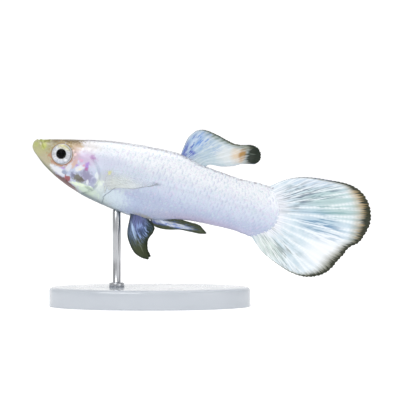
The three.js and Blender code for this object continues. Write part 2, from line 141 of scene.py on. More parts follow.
# %% Smooth lines
def line_through(points, steps=24):
    """The spline through the points, by the pyramid of blends of Barry and Goldman."""
    p = np.array(points, float)
    p = np.vstack([2 * p[0] - p[1], p, 2 * p[-1] - p[-2]])
    gaps = np.linalg.norm(np.diff(p, axis=0), axis=1) ** 0.5
    knots = np.concatenate([[0], np.cumsum(gaps)])
    spans = len(points) - 1
    t = knots[1:-2, None] + gaps[1:-1, None] * np.linspace(0, 1, steps, endpoint=False)
    q = [p[i : i + spans, None, :] for i in range(4)]
    k = [knots[i : i + spans, None] for i in range(4)]

    def mix(a, b, low, high):
        share = ((t - low) / (high - low))[..., None]
        return a * (1 - share) + b * share

    a1, a2, a3 = (mix(q[i], q[i + 1], k[i], k[i + 1]) for i in range(3))
    b1, b2 = mix(a1, a2, k[0], k[2]), mix(a2, a3, k[1], k[3])
    return np.vstack([mix(b1, b2, k[1], k[2]).reshape(-1, 2), points[-1]])


def at_share(line, share):
    """Points of a line at shares of its length, 0 at its start and 1 at its end."""
    lengths = np.linalg.norm(np.diff(line, axis=0), axis=1)
    done = np.concatenate([[0], np.cumsum(lengths)]) / lengths.sum()
    return np.stack([np.interp(share, done, line[:, i]) for i in range(2)], axis=-1)


def distance_to(line, x, z):
    """Least distance from side-view points to the segments of a line."""
    nearest = np.full(np.shape(x), np.inf)
    for (x0, z0), (x1, z1) in zip(line[:-1], line[1:]):
        dx, dz = x1 - x0, z1 - z0
        share = np.clip(((x - x0) * dx + (z - z0) * dz) / (dx * dx + dz * dz), 0, 1)
        nearest = np.minimum(nearest, np.hypot(x - x0 - share * dx, z - z0 - share * dz))
    return nearest


STALK_END = line_through(
    [[29.4, 6], [30.0, 4.3], [31.1, 3.2], [31.9, 1.6], [31.95, 0.3], [31.3, -1.1], [29.95, -2.3],
     [29.4, -5]]
)
GAPE = line_through([[0.1, 1.35], [0.56, 0.92], [1.02, 0.6], [1.5, 0.16]], 6)
GILL_EDGE = line_through(
    [[7.5, 1.1], [7.75, 0.8], [8.9, -0.5], [9.2, -1.6], [8.6, -3], [7.6, -3.7], [7.0, -4.3]], 6
)
CHEEK_FOLD = line_through([[6.9, 0.5], [6.1, -0.5], [6.05, -1.6], [6.6, -2.5], [7.5, -3.0]], 6)
SHOULDER_FOLD = line_through([[10.62, -4.4], [10.5, -3.8], [10.45, -3.2], [10.6, -2.7]], 6)
end_length = np.linalg.norm(np.diff(STALK_END, axis=0), axis=1).sum()
print("The stalk's end line is", round(float(end_length), 1), "mm long")

# %% [markdown]
# ## The body's form
# A fish's body is a row of egg-shaped sections. Their top, bottom and half width change along the
# body, and so do the height where the section is widest and how square it is. Each of these is a
# curve through a few measured points. Distances count by their square root, because that rounds
# the snout without extra points.

# %% Profiles of the body
def profile(points):
    """A cubic in the root of the distance whose slopes are the harmonic means of its neighbours'."""
    knots = np.sqrt([p[0] for p in points])
    values = np.array([p[1] for p in points], float)
    rise = np.diff(values) / np.diff(knots)
    product = rise[:-1] * rise[1:]
    total = np.where(product > 0, rise[:-1] + rise[1:], 1)
    inner = np.where(product > 0, 2 * product / total, 0)
    slope = np.concatenate([rise[:1], inner, rise[-1:]])

    def curve(distance):
        q = np.sqrt(np.clip(distance, points[0][0], points[-1][0]))
        i = np.clip(np.searchsorted(knots, q, side="right") - 1, 0, len(knots) - 2)
        width = knots[i + 1] - knots[i]
        t = (q - knots[i]) / width
        ends = values[i] * (1 + 2 * t) * (1 - t) ** 2 + values[i + 1] * t * t * (3 - 2 * t)
        return ends + width * (slope[i] * t * (1 - t) ** 2 - slope[i + 1] * t * t * (1 - t))

    return curve


back = profile([
    [0, 0.15], [0.07, 0.55], [0.4, 0.86], [1, 1.07], [2.5, 1.58], [5.5, 2.5],
    [9.4, 3.55], [14.1, 4.32], [17.6, 4.62], [20.9, 4.15], [26, 3.98], [29.6, 4.2], [33, 4.3],
])
belly = profile([
    [0, 0.15], [0.08, -0.24], [0.95, -1.08], [3, -2.37], [5.7, -3.44], [9, -4.18],
    [13.9, -4.56], [16.9, -4.2], [20.8, -2.98], [25, -2.5], [28.4, -2.33], [33, -2.55],
])
half_width = profile([
    [0, 0], [0.1, 0.5], [0.4, 0.85], [1, 1.12], [2.4, 1.5], [3.7, 1.75], [5.5, 2.12],
    [8, 2.45], [12, 2.6], [15, 2.48], [18, 2.15], [21, 1.75], [24, 1.37], [27, 1.02],
    [29.5, 0.7], [33, 0.42],
])
widest = profile([[0, 0.5], [3, 0.66], [6, 0.62], [11, 0.52], [33, 0.5]])
round_above = profile([[0, 2.2], [3.5, 2.9], [8, 2.5], [16, 2.1], [33, 2]])
round_below = profile([[0, 2], [4, 1.75], [10, 1.9], [16, 2.1], [33, 2]])

BODY_END = 31.6
TAPER_START = 28.5


def section_point(distance, angle):
    """A superellipse round the section: y = -w cos^p and z = middle + h sin^p, by half."""
    high, low = back(distance), belly(distance)
    middle = low + (high - low) * widest(distance)
    c, s = np.cos(angle), np.sin(angle)
    power = 2 / np.where(s > 0, round_above(distance), round_below(distance))
    taper = np.sqrt(np.clip(1 - smooth(distance, TAPER_START, BODY_END) ** 2, 0, 1))
    y = -np.sign(c) * half_width(distance) * taper * np.abs(c) ** power
    z = middle + np.where(s > 0, high - middle, low - middle) * np.abs(s) ** power
    return np.stack([distance + 0 * y, y, z], axis=-1)


def flank(distance, height):
    """Half the body's width at a distance from the snout and a height, before the taper."""
    high, low = back(distance), belly(distance)
    middle = low + (high - low) * widest(distance)
    above = height > middle
    n = np.where(above, round_above(distance), round_below(distance))
    reach = np.where(above, high - middle, middle - low)
    share = np.clip(np.abs(height - middle) / reach, 0, 1)
    return half_width(distance) * (1 - share**n) ** (1 / n)


print("Body depth at 14 mm:", round(float(back(14) - belly(14)), 2), "mm")

# %% [markdown]
# ## Relief on the skin
# The lips, nostrils, eye sockets and gill covers are forms of the skin itself. Each is a small
# height that depends on the distance from a line or a point, and the surface moves out along its
# own normal by the sum of them. This keeps the head one closed skin with no seams, and the gill
# cover still gets a real free edge.

# %% Relief of the head and flanks
EYE = np.array([3.92, 1.25, 0.13])
EYE_TURN = 0.19
NOSTRIL = np.array([1.75, 0.86, 1.36])
FIN_FOOT, FIN_FOOT_SIZE = np.array([10.0, -1.35]), np.array([0.8, 1.1])
VENT = np.array([16.0, -4.3])
SHOULDER_FRONT = 10.5
SOCKET_DEPTH, SOCKET_WALL = 0.45, (1.02, 1.16)
PLATE_HEIGHT, PLATE_EDGE, PLATE_SLOPE = 0.17, (0, 0.07), (0.3, 3.2)
COVER_TOP, COVER_FOOT, CHEEK_TOP = (0.5, 1.3), (0.05, 0.6), (0.2, 0.7)
FURROW_SHARE, FURROW_START, STALK_RIM_START = 0.52, (10, 13), (27, 29)
UNEVENNESS = 0.012
# height, distance from the line or point, and width, in mm; a height below 0 is a groove
RIDGES = {
    "lip": (0.06, 0.2, 0.12), "mouth line": (-0.09, 0.0, 0.06),
    "socket rim": (0.05, 1.4, 0.13), "lid fold": (-0.035, 1.66, 0.07),
    "nostril rim": (0.06, 0.22, 0.09), "nostril": (-0.16, 0.0, 0.12),
    "gill slit": (-0.15, -0.08, 0.12), "cheek fold": (-0.05, 0.0, 0.09),
    "fin foot": (0.14, 0.0, 1.0), "vent": (0.1, 0.0, 0.7),
    "shoulder": (0.05, -0.15, 0.2), "shoulder fold": (-0.07, 0.0, 0.06),
    "furrow": (-0.05, 0.0, 0.3), "stalk rim": (0.05, 0.45, 0.16),
}


def ridge(name, distance):
    """Height of a rounded ridge, h exp(-((distance - place)/width)^2), from its row in the table."""
    height, place, width = RIDGES[name]
    return height * bell(distance - place, width)


def relief(x, y, z):
    """Sum of the head's folds and the flank's low swellings, in millimetres along the normal."""
    gape = distance_to(GAPE, x, z)
    lips = ridge("lip", gape) + ridge("mouth line", gape)

    eye_span = np.hypot(x - EYE[0], z - EYE[2])
    socket = -SOCKET_DEPTH * (1 - smooth(eye_span, *SOCKET_WALL)) + ridge("socket rim", eye_span)
    lid_fold = ridge("lid fold", eye_span)

    nostril_gap = [x - NOSTRIL[0], np.abs(y) - NOSTRIL[1], z - NOSTRIL[2]]
    nostril_span = np.sqrt(nostril_gap[0] ** 2 + nostril_gap[1] ** 2 + nostril_gap[2] ** 2)
    nostril = ridge("nostril rim", nostril_span) + ridge("nostril", nostril_span)

    edge_x = np.interp(-z, -GILL_EDGE[:, 1], GILL_EDGE[:, 0])
    from_edge = distance_to(GILL_EDGE, x, z) * np.sign(edge_x - x)
    cover_zone = (1 - smooth(z, *COVER_TOP)) * smooth(z - belly(x), *COVER_FOOT)
    plate = PLATE_HEIGHT * smooth(from_edge, *PLATE_EDGE) * (1 - smooth(from_edge, *PLATE_SLOPE))
    cheek = ridge("cheek fold", distance_to(CHEEK_FOLD, x, z)) * (1 - smooth(z, *CHEEK_TOP))
    gill = cover_zone * (plate + ridge("gill slit", from_edge)) + cheek

    foot_x, foot_z = (x - FIN_FOOT[0]) / FIN_FOOT_SIZE[0], (z - FIN_FOOT[1]) / FIN_FOOT_SIZE[1]
    from_fold = distance_to(SHOULDER_FOLD, x, z)
    foot = ridge("fin foot", np.hypot(foot_x, foot_z)) + ridge("shoulder", from_fold) * (x < SHOULDER_FRONT)
    foot = foot + ridge("shoulder fold", from_fold)
    vent = ridge("vent", np.hypot(x - VENT[0], z - VENT[1]))

    middle = belly(x) + (back(x) - belly(x)) * FURROW_SHARE
    furrow = ridge("furrow", z - middle) * smooth(x, *FURROW_START)
    stalk_rim = ridge("stalk rim", distance_to(STALK_END, x, z)) * smooth(x, *STALK_RIM_START)
    uneven = UNEVENNESS * np.sin(2.1 * x + 1.3 * z) * np.sin(1.7 * z - 0.9 * x)
    return lips + socket + lid_fold + nostril + gill + foot + vent + furrow + stalk_rim + uneven


STEP, TINY = 0.01, 1e-12
AXIS_HEIGHT = 0.2
RELIEF_FADE, BEND_START = 1.2, 22


def skin_point(distance, angle, lift=0.0):
    """Section point moved along its normal by the relief and the lift, then bent to the tail's end."""
    point = section_point(distance, angle)
    along = section_point(distance + STEP, angle) - section_point(distance - STEP, angle)
    across = section_point(distance, angle + STEP) - section_point(distance, angle - STEP)
    normal = np.cross(along, across)
    normal /= np.linalg.norm(normal, axis=-1, keepdims=True) + TINY
    outwards = np.sum(normal * (point * [0, 1, 1] - [0, 0, AXIS_HEIGHT]), axis=-1, keepdims=True)
    normal *= np.where(outwards < 0, -1, 1)
    x, y, z = np.moveaxis(point, -1, 0)
    fade = 1 - smooth(distance, BODY_END - RELIEF_FADE, BODY_END)
    moved = point + normal * (relief(x, y, z) * fade + lift)[..., None]
    end_x = np.interp(-z, -STALK_END[:, 1], STALK_END[:, 0])
    moved[..., 0] += (end_x - BODY_END) * smooth(distance, BEND_START, BODY_END)
    return moved


sample = skin_point(np.array([4.0, 15.0, 28.0]), np.array([0.3, 0.3, 0.3]))
print("Three points of the left flank:", sample.round(2).tolist())

# %% [markdown]
# ## One skin over the whole body
# The solids come in pieces: head, lower jaw, gill covers, torso and tail stalk. The skin replaces
# them all with one tube from the snout to the tail's end. Its rows stand close together on the
# head, where the small forms are, and further apart along the flank.

# %% The skin
HEAD_ROWS, FLANK_ROWS, ROUND = 190, 130, 232
HEAD_LENGTH = 10.5
CROWDING = 1.5

head_rows = HEAD_LENGTH * np.linspace(0, 1, HEAD_ROWS, endpoint=False) ** CROWDING
flank_rows = HEAD_LENGTH + (BODY_END - HEAD_LENGTH) * np.linspace(0, 1, FLANK_ROWS)
rows = np.concatenate([head_rows, flank_rows])[:, None]
angles = np.linspace(-math.pi / 2, 1.5 * math.pi, ROUND + 1)[None, :]
skin_points = skin_point(rows + 0 * angles, angles + 0 * rows)
skin_points[0] = skin_points[0].mean(axis=0)
skin_points[-1, :, 1] = 0
skin_points[:, -1] = skin_points[:, 0]
share_round = (angles - angles[0, 0]) / (2 * math.pi)
skin_map = np.stack([rows / BODY_END + 0 * angles, share_round + 0 * rows], axis=-1)
skin = make_piece("skin", placed(skin_points), grid_faces(len(rows), ROUND + 1), {"body_map": skin_map})

# %% [markdown]
# ## Scales
# A guppy has about 27 scales in a row from its gill slit to its tail. Here the columns stand closer,
# 64 of them with 16 scales each, to give the fine upright marks of the photo, and each column is
# half a scale out of step with the next. The next cell finds the root of every scale. The ring round
# the body is shared out by its true length, so the scales are as wide on the back as on the flank.

# %% Where scales grow
COLUMNS, RING = 64, 16
FIRST_COLUMN, LAST_GAP = 4.9, 0.3
COLUMN_PITCH = (BODY_END - LAST_GAP - FIRST_COLUMN) / COLUMNS
ROW_START, ROW_SHIFT = 0.25, 0.5
NAPE_START, NAPE_HEIGHT, NAPE_RISE = 5, 1.15, 0.12
BEHIND_GILL = 0.2
RING_POINTS = 721


def even_angles(distance, share):
    """Angles that divide the skin's section evenly by its arc length, at one distance."""
    fine = np.linspace(-math.pi / 2, 1.5 * math.pi, RING_POINTS)
    ring = section_point(np.full(fine.shape, distance), fine)
    done = np.concatenate([[0], np.cumsum(np.linalg.norm(np.diff(ring, axis=0), axis=1))])
    return np.interp(share % 1.0, done / done[-1], fine)


def scale_places():
    """Distance and share of the way round for the root of every scale."""
    column, row = np.meshgrid(np.arange(COLUMNS), np.arange(RING), indexing="ij")
    distance = FIRST_COLUMN + COLUMN_PITCH * column
    share = (row + ROW_SHIFT * (column % 2) + ROW_START) / RING
    return distance.ravel(), share.ravel()


def scale_zone(distance, share):
    """True where a scale grows: behind the gill slit, and from the nape on top."""
    angle = np.array([float(even_angles(d, s)) for d, s in zip(distance, share)])
    z = section_point(distance, angle)[:, 2]
    edge_x = np.interp(-z, -GILL_EDGE[:, 1], GILL_EDGE[:, 0])
    nape = z > NAPE_HEIGHT + NAPE_RISE * (distance - NAPE_START)
    return np.where(nape, distance > NAPE_START, distance > edge_x + BEHIND_GILL)


root_distance, root_share = scale_places()
grows = scale_zone(root_distance, root_share)
root_distance, root_share = root_distance[grows], root_share[grows]
print("Scales:", len(root_distance))

# %% [markdown]
# A scale is a thin shield: its front lies under the one before it, and its round back edge stands
# free. All of them are one array sum: the grid of one scale, spread over every scale's place on the
# skin. The angles that share out a ring evenly are slow to find, so a table of them is made once and
# read between its entries.

# %% The form of the scales
SCALE_OVERLAP, SCALE_SPREAD = 2.7, 0.5
SCALE_ROWS, SCALE_SIDES = 5, 6
SIDE_LENGTH, FRONT_WIDTH = 0.66, 0.8
SCALE_LIFT = np.array([-0.026, 0.02])
SCALE_CROWN, SCALE_THICKNESS = 0.004, 0.008
SCALE_END_GAP, FLAT_START, FLATTENING = 0.05, 29, 0.5
STATIONS, STEPS_ROUND = 120, 360


def between(table, row, column):
    """Value of a table between its rows and columns, shared out over the four nearest entries."""
    i, j = row.astype(int), np.minimum(column.astype(int), table.shape[1] - 2)
    fi, fj = row - i, column - j
    return (
        table[i, j] * (1 - fi) * (1 - fj) + table[i + 1, j] * fi * (1 - fj)
        + table[i, j + 1] * (1 - fi) * fj + table[i + 1, j + 1] * fi * fj
    )


a = np.linspace(-1, 1, SCALE_SIDES + 1)[None, None, :]
b = np.linspace(0, 1, SCALE_ROWS + 1)[None, :, None]
step_back = b * (SIDE_LENGTH + (1 - SIDE_LENGTH) * np.sqrt(np.clip(1 - a**2, 0, 1)))
root_d, root_s = root_distance[:, None, None], root_share[:, None, None]
scale_d = root_d + COLUMN_PITCH * SCALE_OVERLAP * step_back + 0 * a
scale_d = np.minimum(scale_d, BODY_END - SCALE_END_GAP)
widening = FRONT_WIDTH + (1 - FRONT_WIDTH) * np.sqrt(step_back)
scale_s = root_s + (SCALE_SPREAD / RING) * a * widening + 0 * root_d

stations = np.linspace(FIRST_COLUMN - 0.5, BODY_END, STATIONS)
shares = np.minimum(np.linspace(0, 1, STEPS_ROUND + 1), 1 - 1e-6)
angle_table = np.array([even_angles(distance, shares) for distance in stations])
station = np.clip((scale_d - stations[0]) / (stations[1] - stations[0]), 0, STATIONS - 1.001)
scale_angle = between(angle_table, station, (scale_s % 1.0) * STEPS_ROUND)

lift = SCALE_LIFT[0] + (SCALE_LIFT[1] - SCALE_LIFT[0]) * step_back + SCALE_CROWN * (1 - a**2)
lift = lift * (1 - FLATTENING * smooth(scale_d, FLAT_START, BODY_END))
rim = (b == 1) | (np.abs(a) == 1) | (b == 0)
upper_points = skin_point(scale_d, scale_angle, lift)
under_points = skin_point(scale_d, scale_angle, lift - np.where(rim, 0, SCALE_THICKNESS))
print("Points of one scale:", upper_points[0, ..., 0].size, "on each side")

# %% [markdown]
# Each scale is closed, with an underside. Its first map keeps its own patch on an unwrap of the
# skin, where its baked colour goes, and the others say where it lies on the body and which part of
# the scale a point is.

# %% The scales
PATCH = 0.003
PATCH_MARGIN = 0.02

count, points_each = len(root_distance), a.size * b.size
one_scale = grid_faces(SCALE_ROWS + 1, SCALE_SIDES + 1)
starts = (np.arange(count) * points_each)[:, None, None]
upper_faces = (one_scale[None] + starts).reshape(-1, 4)
under_faces = (one_scale[None, :, ::-1] + starts + count * points_each).reshape(-1, 4)
around_share = (scale_angle + math.pi / 2) / (2 * math.pi)
spread = 1 - 2 * PATCH_MARGIN
scale_maps = {
    "OFBake": np.stack([
        PATCH_MARGIN + spread * root_d / BODY_END + PATCH * (step_back - 0.5),
        PATCH_MARGIN + spread * (root_s % 1.0) + PATCH * 0.5 * a + 0 * b,
    ], axis=-1),
    "scale_map": np.stack([(a + 1) / 2 + 0 * b + 0 * root_d, step_back + 0 * root_d], axis=-1),
    "body_map": np.stack([scale_d / BODY_END, around_share], axis=-1),
}
scales = make_piece(
    "scales",
    placed(np.concatenate([upper_points, under_points])),
    np.concatenate([upper_faces, under_faces]),
    {name: np.concatenate([one_side, one_side]) for name, one_side in scale_maps.items()},
)

# %% [markdown]
# ## Fins
# A fin is a thin web stretched over bony rays. In side view it is a patch between four lines: its
# root, its free margin, its first ray and its last. A point at share s across and t outwards blends
# the four lines, which is a Coons patch. The rays stand out of both faces as fine ribs, and each
# forks twice on its way to the margin, as a real one does. Their height is also kept as a value by
# point, for the material to colour ray and web apart.

# %% Making a fin
WEB, FIN_MARGIN = 0.07, 0.03
ARM_SPREAD, TWIG_SPREAD, TWIG_START, TWIG_END = 0.25, 0.12, 0.35, 1.1
RIB_WIDTH, RIB_NARROWING, RIB_SINKING = 0.17, 0.09, 0.55
JOINT_DEPTH = 0.15
WANDER, RIPPLE = 0.8, 0.03
ROOT_REACH, MARGIN_START = 0.12, 0.93
SIDE_RISE, SIDE_THICKNESS = 400, 0.15


def patch(fin, s, t):
    """Coons patch: root to margin plus first to last ray, less the blend of the four corners."""
    root, margin = at_share(fin["root"], s), at_share(fin["margin"], s)
    first, last = at_share(fin["first"], t), at_share(fin["last"], t)
    s, t = s[..., None], t[..., None]
    corners = (fin["root"][0] * (1 - s) + fin["root"][-1] * s) * (1 - t)
    corners = corners + (fin["margin"][0] * (1 - s) + fin["margin"][-1] * s) * t
    return root * (1 - t) + margin * t + first * (1 - s) + last * s - corners


def ribs(fin, s, t):
    """Height of the rays, 0 to 1: round ribs that fork into two arms and then into four twigs."""
    place = s * (fin["rays"] - 1)
    from_ray = np.abs(place - np.round(place))
    arm = np.abs(from_ray - ARM_SPREAD * smooth(t, fin["fork"], 1.0))
    twig = np.abs(arm - TWIG_SPREAD * smooth(t, fin["fork"] + TWIG_START, TWIG_END))
    width = RIB_WIDTH - RIB_NARROWING * smooth(t, fin["fork"], 1.0)
    joints = 1 - JOINT_DEPTH + JOINT_DEPTH * np.cos(2 * math.pi * t * fin["joints"])
    return bell(twig, width) * joints


def fin_piece(name, fin, sideways, turn=None):
    """Both faces of the patch, apart by the web and the ribs, and closed all round."""
    across, deep = (fin["rays"] - 1) * fin["fineness"] + 1, fin["rows"] + 1
    s, t = np.meshgrid(np.linspace(0, 1, across), np.linspace(0, 1, deep), indexing="xy")
    rib = ribs(fin, s, t)
    tip = ribs(fin, s, np.ones_like(t))
    wander = 0.5 + 0.5 * np.sin(37 * s + 5 * np.sin(11 * s))  # uneven bites, as of a worn margin
    reach = t * (1 - fin["fray"] * smooth(t, 0.5, 1) * (1 - tip + WANDER * wander))
    flat = patch(fin, s, reach)
    flat_x, flat_z = flat[..., 0], flat[..., 1]
    ripple = RIPPLE * np.sin(2 * math.pi * s * (fin["rays"] - 1)) * smooth(t, 0.1, 0.6)
    y = sideways(s, t, flat_x, flat_z) + ripple
    root = fin["root_thickness"] * bell(t, ROOT_REACH)
    rib_height = fin["rib"] * rib * (1 - RIB_SINKING * t)
    half = (WEB + root + rib_height) * (1 - smooth(t, MARGIN_START, 1)) / 2 + FIN_MARGIN / 2
    half = half * np.minimum(1, np.minimum(s, 1 - s) * SIDE_RISE / fin["rays"] + SIDE_THICKNESS)
    left = np.stack([flat_x, y - half, flat_z], axis=-1)
    right = np.stack([flat_x, y + half, flat_z], axis=-1)
    if turn is not None:
        left, right = turn(left), turn(right)
    other = across * deep
    number = np.arange(other).reshape(deep, across)
    rim = np.concatenate([number[0, :-1], number[:-1, -1], number[-1, :0:-1], number[:0:-1, 0]])
    after = np.roll(rim, -1)
    edge = np.stack([after, rim, rim + other, after + other], axis=-1)
    left_faces, right_faces = grid_faces(deep, across), grid_faces(deep, across, other)[:, ::-1]
    ray_map = np.stack([s, t], axis=-1)
    return make_piece(
        name,
        placed(np.concatenate([left, right])),
        np.concatenate([left_faces, right_faces, edge]),
        {"ray_map": np.concatenate([ray_map, ray_map])},
        {"rib": np.concatenate([rib, rib])},
    )


rays_met = ribs({"rays": 2, "fork": 0.3, "joints": 1}, np.array([0.0, 0.5]), np.zeros(2))
print("Rib height on a ray and between two:", rays_met.round(2).tolist())

# %% [markdown]
# The tail fin opens from the end of the stalk like a fan, with its longest rays at the top and a
# rounded lower lobe. It sweeps gently from side to side, so it isn't a flat board from behind.

# %% Tail fin
CAUDAL = {
    "rays": 19, "fineness": 20, "rows": 96, "fork": 0.3, "joints": 26, "fray": 0.012,
    "rib": 0.14, "root_thickness": 0.12,
    "root": line_through([[28.9, 3.8], [30.4, 2.9], [30.95, 1], [30.4, -0.7], [28.8, -2]]),
    "first": line_through([[28.9, 3.8], [29.7, 4.4]]),
    "margin": line_through([
        [29.7, 4.4], [31, 5.5], [33, 6.56], [36.3, 7.26], [39.3, 7.5], [41, 6.94], [42.2, 5.75],
        [42.85, 4.1], [42.9, 2.7], [42.3, 1.05], [41.3, -0.15], [40.75, -1.5], [40.1, -3],
        [39.1, -4.25], [37.6, -5.05], [35.7, -5.2], [33.3, -4.62], [31.1, -3.74], [29.5, -2.55],
    ]),
    "last": line_through([[28.8, -2], [29.5, -2.55]]),
}


TAIL_SWEEP, TAIL_FOLD, TAIL_FOLDS = 0.5, 0.1, 7


def tail_wave(s, t, x, z):
    """A slow sweep across the fan, and folds between its rays that grow outwards."""
    sweep = TAIL_SWEEP * t * t * np.sin(1.3 * math.pi * s + 0.5)
    return sweep + TAIL_FOLD * t * np.sin(TAIL_FOLDS * math.pi * s)


caudal_fin = fin_piece("tail_fin", CAUDAL, tail_wave)

# %% [markdown]
# The back fin stands up from a short root and trails backwards to a round tip.

# %% Back fin
DORSAL = {
    "rays": 9, "fineness": 20, "rows": 70, "fork": 0.35, "joints": 14, "fray": 0.01,
    "rib": 0.14, "root_thickness": 0.35,
    "root": line_through([[17.85, 4.1], [19.3, 3.9], [20.95, 3.6]]),
    "first": line_through([[17.85, 4.1], [17.9, 5.6], [18.1, 6.9], [18.75, 8]]),
    "margin": line_through([
        [18.75, 8], [19.6, 8.4], [21.3, 8.32], [23.6, 7.94], [24.6, 8.04], [25.8, 8.42],
        [26.8, 8.32], [27.35, 7.65], [27.4, 6.85], [27, 6.28],
    ]),
    "last": line_through(
        [[20.95, 3.6], [21.5, 4.4], [23.1, 4.72], [24.6, 5.3], [25.4, 5.8], [27, 6.28]]
    ),
}


BACK_WAVE, BACK_WAVES = 0.22, 2.2


def back_fin_wave(s, t, x, z):
    """A low wave that grows towards the margin."""
    return BACK_WAVE * t * t * np.sin(BACK_WAVES * math.pi * s)


dorsal_fin = fin_piece("back_fin", DORSAL, back_fin_wave)

# %% [markdown]
# A male's anal fin is a narrow rod of a few thick rays that lies back along the belly.

# %% Anal fin
ANAL = {
    "rays": 5, "fineness": 16, "rows": 80, "fork": 0.8, "joints": 22, "fray": 0.0,
    "rib": 0.22, "root_thickness": 0.5,
    "root": line_through([[19.8, -2.9], [18.3, -3.3], [16.7, -3.95]]),
    "first": line_through([[19.8, -2.9], [20.6, -3.05], [21.6, -3.04], [22.4, -3], [22.9, -3.08]]),
    "margin": line_through([[22.9, -3.08], [23.3, -3.34], [23.9, -3.74], [23.5, -3.94], [23, -4.08]]),
    "last": line_through([
        [16.7, -3.95], [16.85, -4.55], [17.5, -4.9], [18.5, -4.92], [19.5, -4.7], [20.5, -4.36],
        [21.8, -4.2], [23, -4.08],
    ]),
}
anal_fin = fin_piece("anal_fin_rod", ANAL, lambda s, t, x, z: 0 * s)

# %% [markdown]
# The pelvic fins hang from the belly and splay outwards. The right one trails a little more, so
# both show from the side.

# %% Pelvic fins
PELVIC = {
    "rays": 6, "fineness": 18, "rows": 60, "fork": 0.45, "joints": 14, "fray": 0.01,
    "rib": 0.16, "root_thickness": 0.4,
    "root": line_through([[15.9, -3.9], [15, -3.95], [14.1, -3.9]]),
    "first": line_through([[15.9, -3.9], [16.5, -4.35], [17.2, -4.8], [17.58, -5.25]]),
    "margin": line_through([
        [17.58, -5.25], [17.55, -5.75], [17.35, -6.3], [17.22, -6.8], [17.3, -7.45],
        [17.56, -8.08], [18.05, -8.68], [18.1, -8.95],
    ]),
    "last": line_through([
        [14.1, -3.9], [14.28, -5], [14.42, -6.2], [14.7, -7.05], [15.35, -7.95], [16.2, -8.7],
        [17.2, -8.98], [18.1, -8.95],
    ]),
}
PELVIC_SPLAY = math.tan(math.radians(16))
PELVIC_HINGE = np.array([15, 0.72, -4.2])
PELVIC_TRAIL = math.radians(-1.5)
PELVIC_CURL = 0.08


def trailed(points):
    """Turn points about the hinge, in side view, by the angle that the right fin trails."""
    x, y, z = np.moveaxis(points - PELVIC_HINGE * [1, 0, 1], -1, 0)
    c, s = math.cos(PELVIC_TRAIL), math.sin(PELVIC_TRAIL)
    return np.stack([x * c + z * s, y, z * c - x * s], axis=-1) + PELVIC_HINGE * [1, 0, 1]


def pelvic_fin(name, side):
    """Sideways place: the hinge's, and more by the splay for each millimetre below it."""
    def sideways(s, t, x, z):
        hung = side * (PELVIC_HINGE[1] + PELVIC_SPLAY * (PELVIC_HINGE[2] - z))
        return hung + PELVIC_CURL * t * np.sin(5 * s)

    return fin_piece(name, PELVIC, sideways, trailed if side > 0 else None)


pelvic_left = pelvic_fin("belly_fin_left", -1)
pelvic_right = pelvic_fin("belly_fin_right", 1)

# %% [markdown]
# The pectoral fins start behind the gill covers and stand off the flanks, so clear that the body
# shows through.

# %% Pectoral fins
PECTORAL = {
    "rays": 11, "fineness": 16, "rows": 50, "fork": 0.4, "joints": 12, "fray": 0.012,
    "rib": 0.04, "root_thickness": 0.3,
    "root": line_through([[9.8, -0.35], [10, -1.6], [10.3, -2.9]]),
    "first": line_through(
        [[9.8, -0.35], [10.7, 0.25], [12.2, 0.62], [14.2, 0.66], [15.6, 0.55], [16.5, 0.38]]
    ),
    "margin": line_through([
        [16.5, 0.38], [15.8, -0.12], [14.8, -0.58], [13.8, -1.14], [12.8, -1.42], [12, -1.62],
        [11.2, -2.05],
    ]),
    "last": line_through([[10.3, -2.9], [10.6, -2.65], [11.2, -2.05]]),
}
PECTORAL_SPLAY = math.tan(math.radians(20))
PECTORAL_FOOT = -0.05
PECTORAL_CURL = 0.35


def pectoral_fin(name, side):
    """Sideways place: the flank's at the root, more by the splay, and a shallow curl."""
    def sideways(s, t, x, z):
        foot = at_share(PECTORAL["root"], s)
        curl = PECTORAL_CURL * np.sin(math.pi * s) * t
        stand = flank(foot[..., 0], foot[..., 1]) + PECTORAL_FOOT + PECTORAL_SPLAY * (x - foot[..., 0])
        return side * (stand + curl)

    return fin_piece(name, PECTORAL, sideways)


pectoral_left = pectoral_fin("side_fin_left", -1)
pectoral_right = pectoral_fin("side_fin_right", 1)

# %% [markdown]
# ## Eyes
# A fish's eye is a flattened ball. The silver iris is a ring round a wide black pupil, through
# which the round lens bulges, and a clear cornea covers both. Each part is a profile turned about
# the eye's own axis, which points out of the cheek and a little forwards.

# %% Eyes
EYE_BALL = [
    [0, 0.6], [0.2, 0.6], [0.5, 0.585], [0.6, 0.57], [0.66, 0.6], [0.8, 0.61], [0.98, 0.585],
    [1.12, 0.5], [1.21, 0.34], [1.25, 0.1], [1.2, -0.2], [1, -0.5], [0.6, -0.75], [0, -0.82],
]
LENS = [[0, 0.76], [0.16, 0.75], [0.32, 0.71], [0.45, 0.65], [0.53, 0.57], [0.5, 0.5], [0, 0.45]]
CORNEA = [
    [0, 0.96], [0.25, 0.945], [0.5, 0.895], [0.75, 0.8], [0.95, 0.69], [1.1, 0.56], [1.18, 0.42],
    [1.1, 0.4], [0.9, 0.4], [0, 0.4],
]
EYE_ROUND, EYE_STEPS = 72, 8


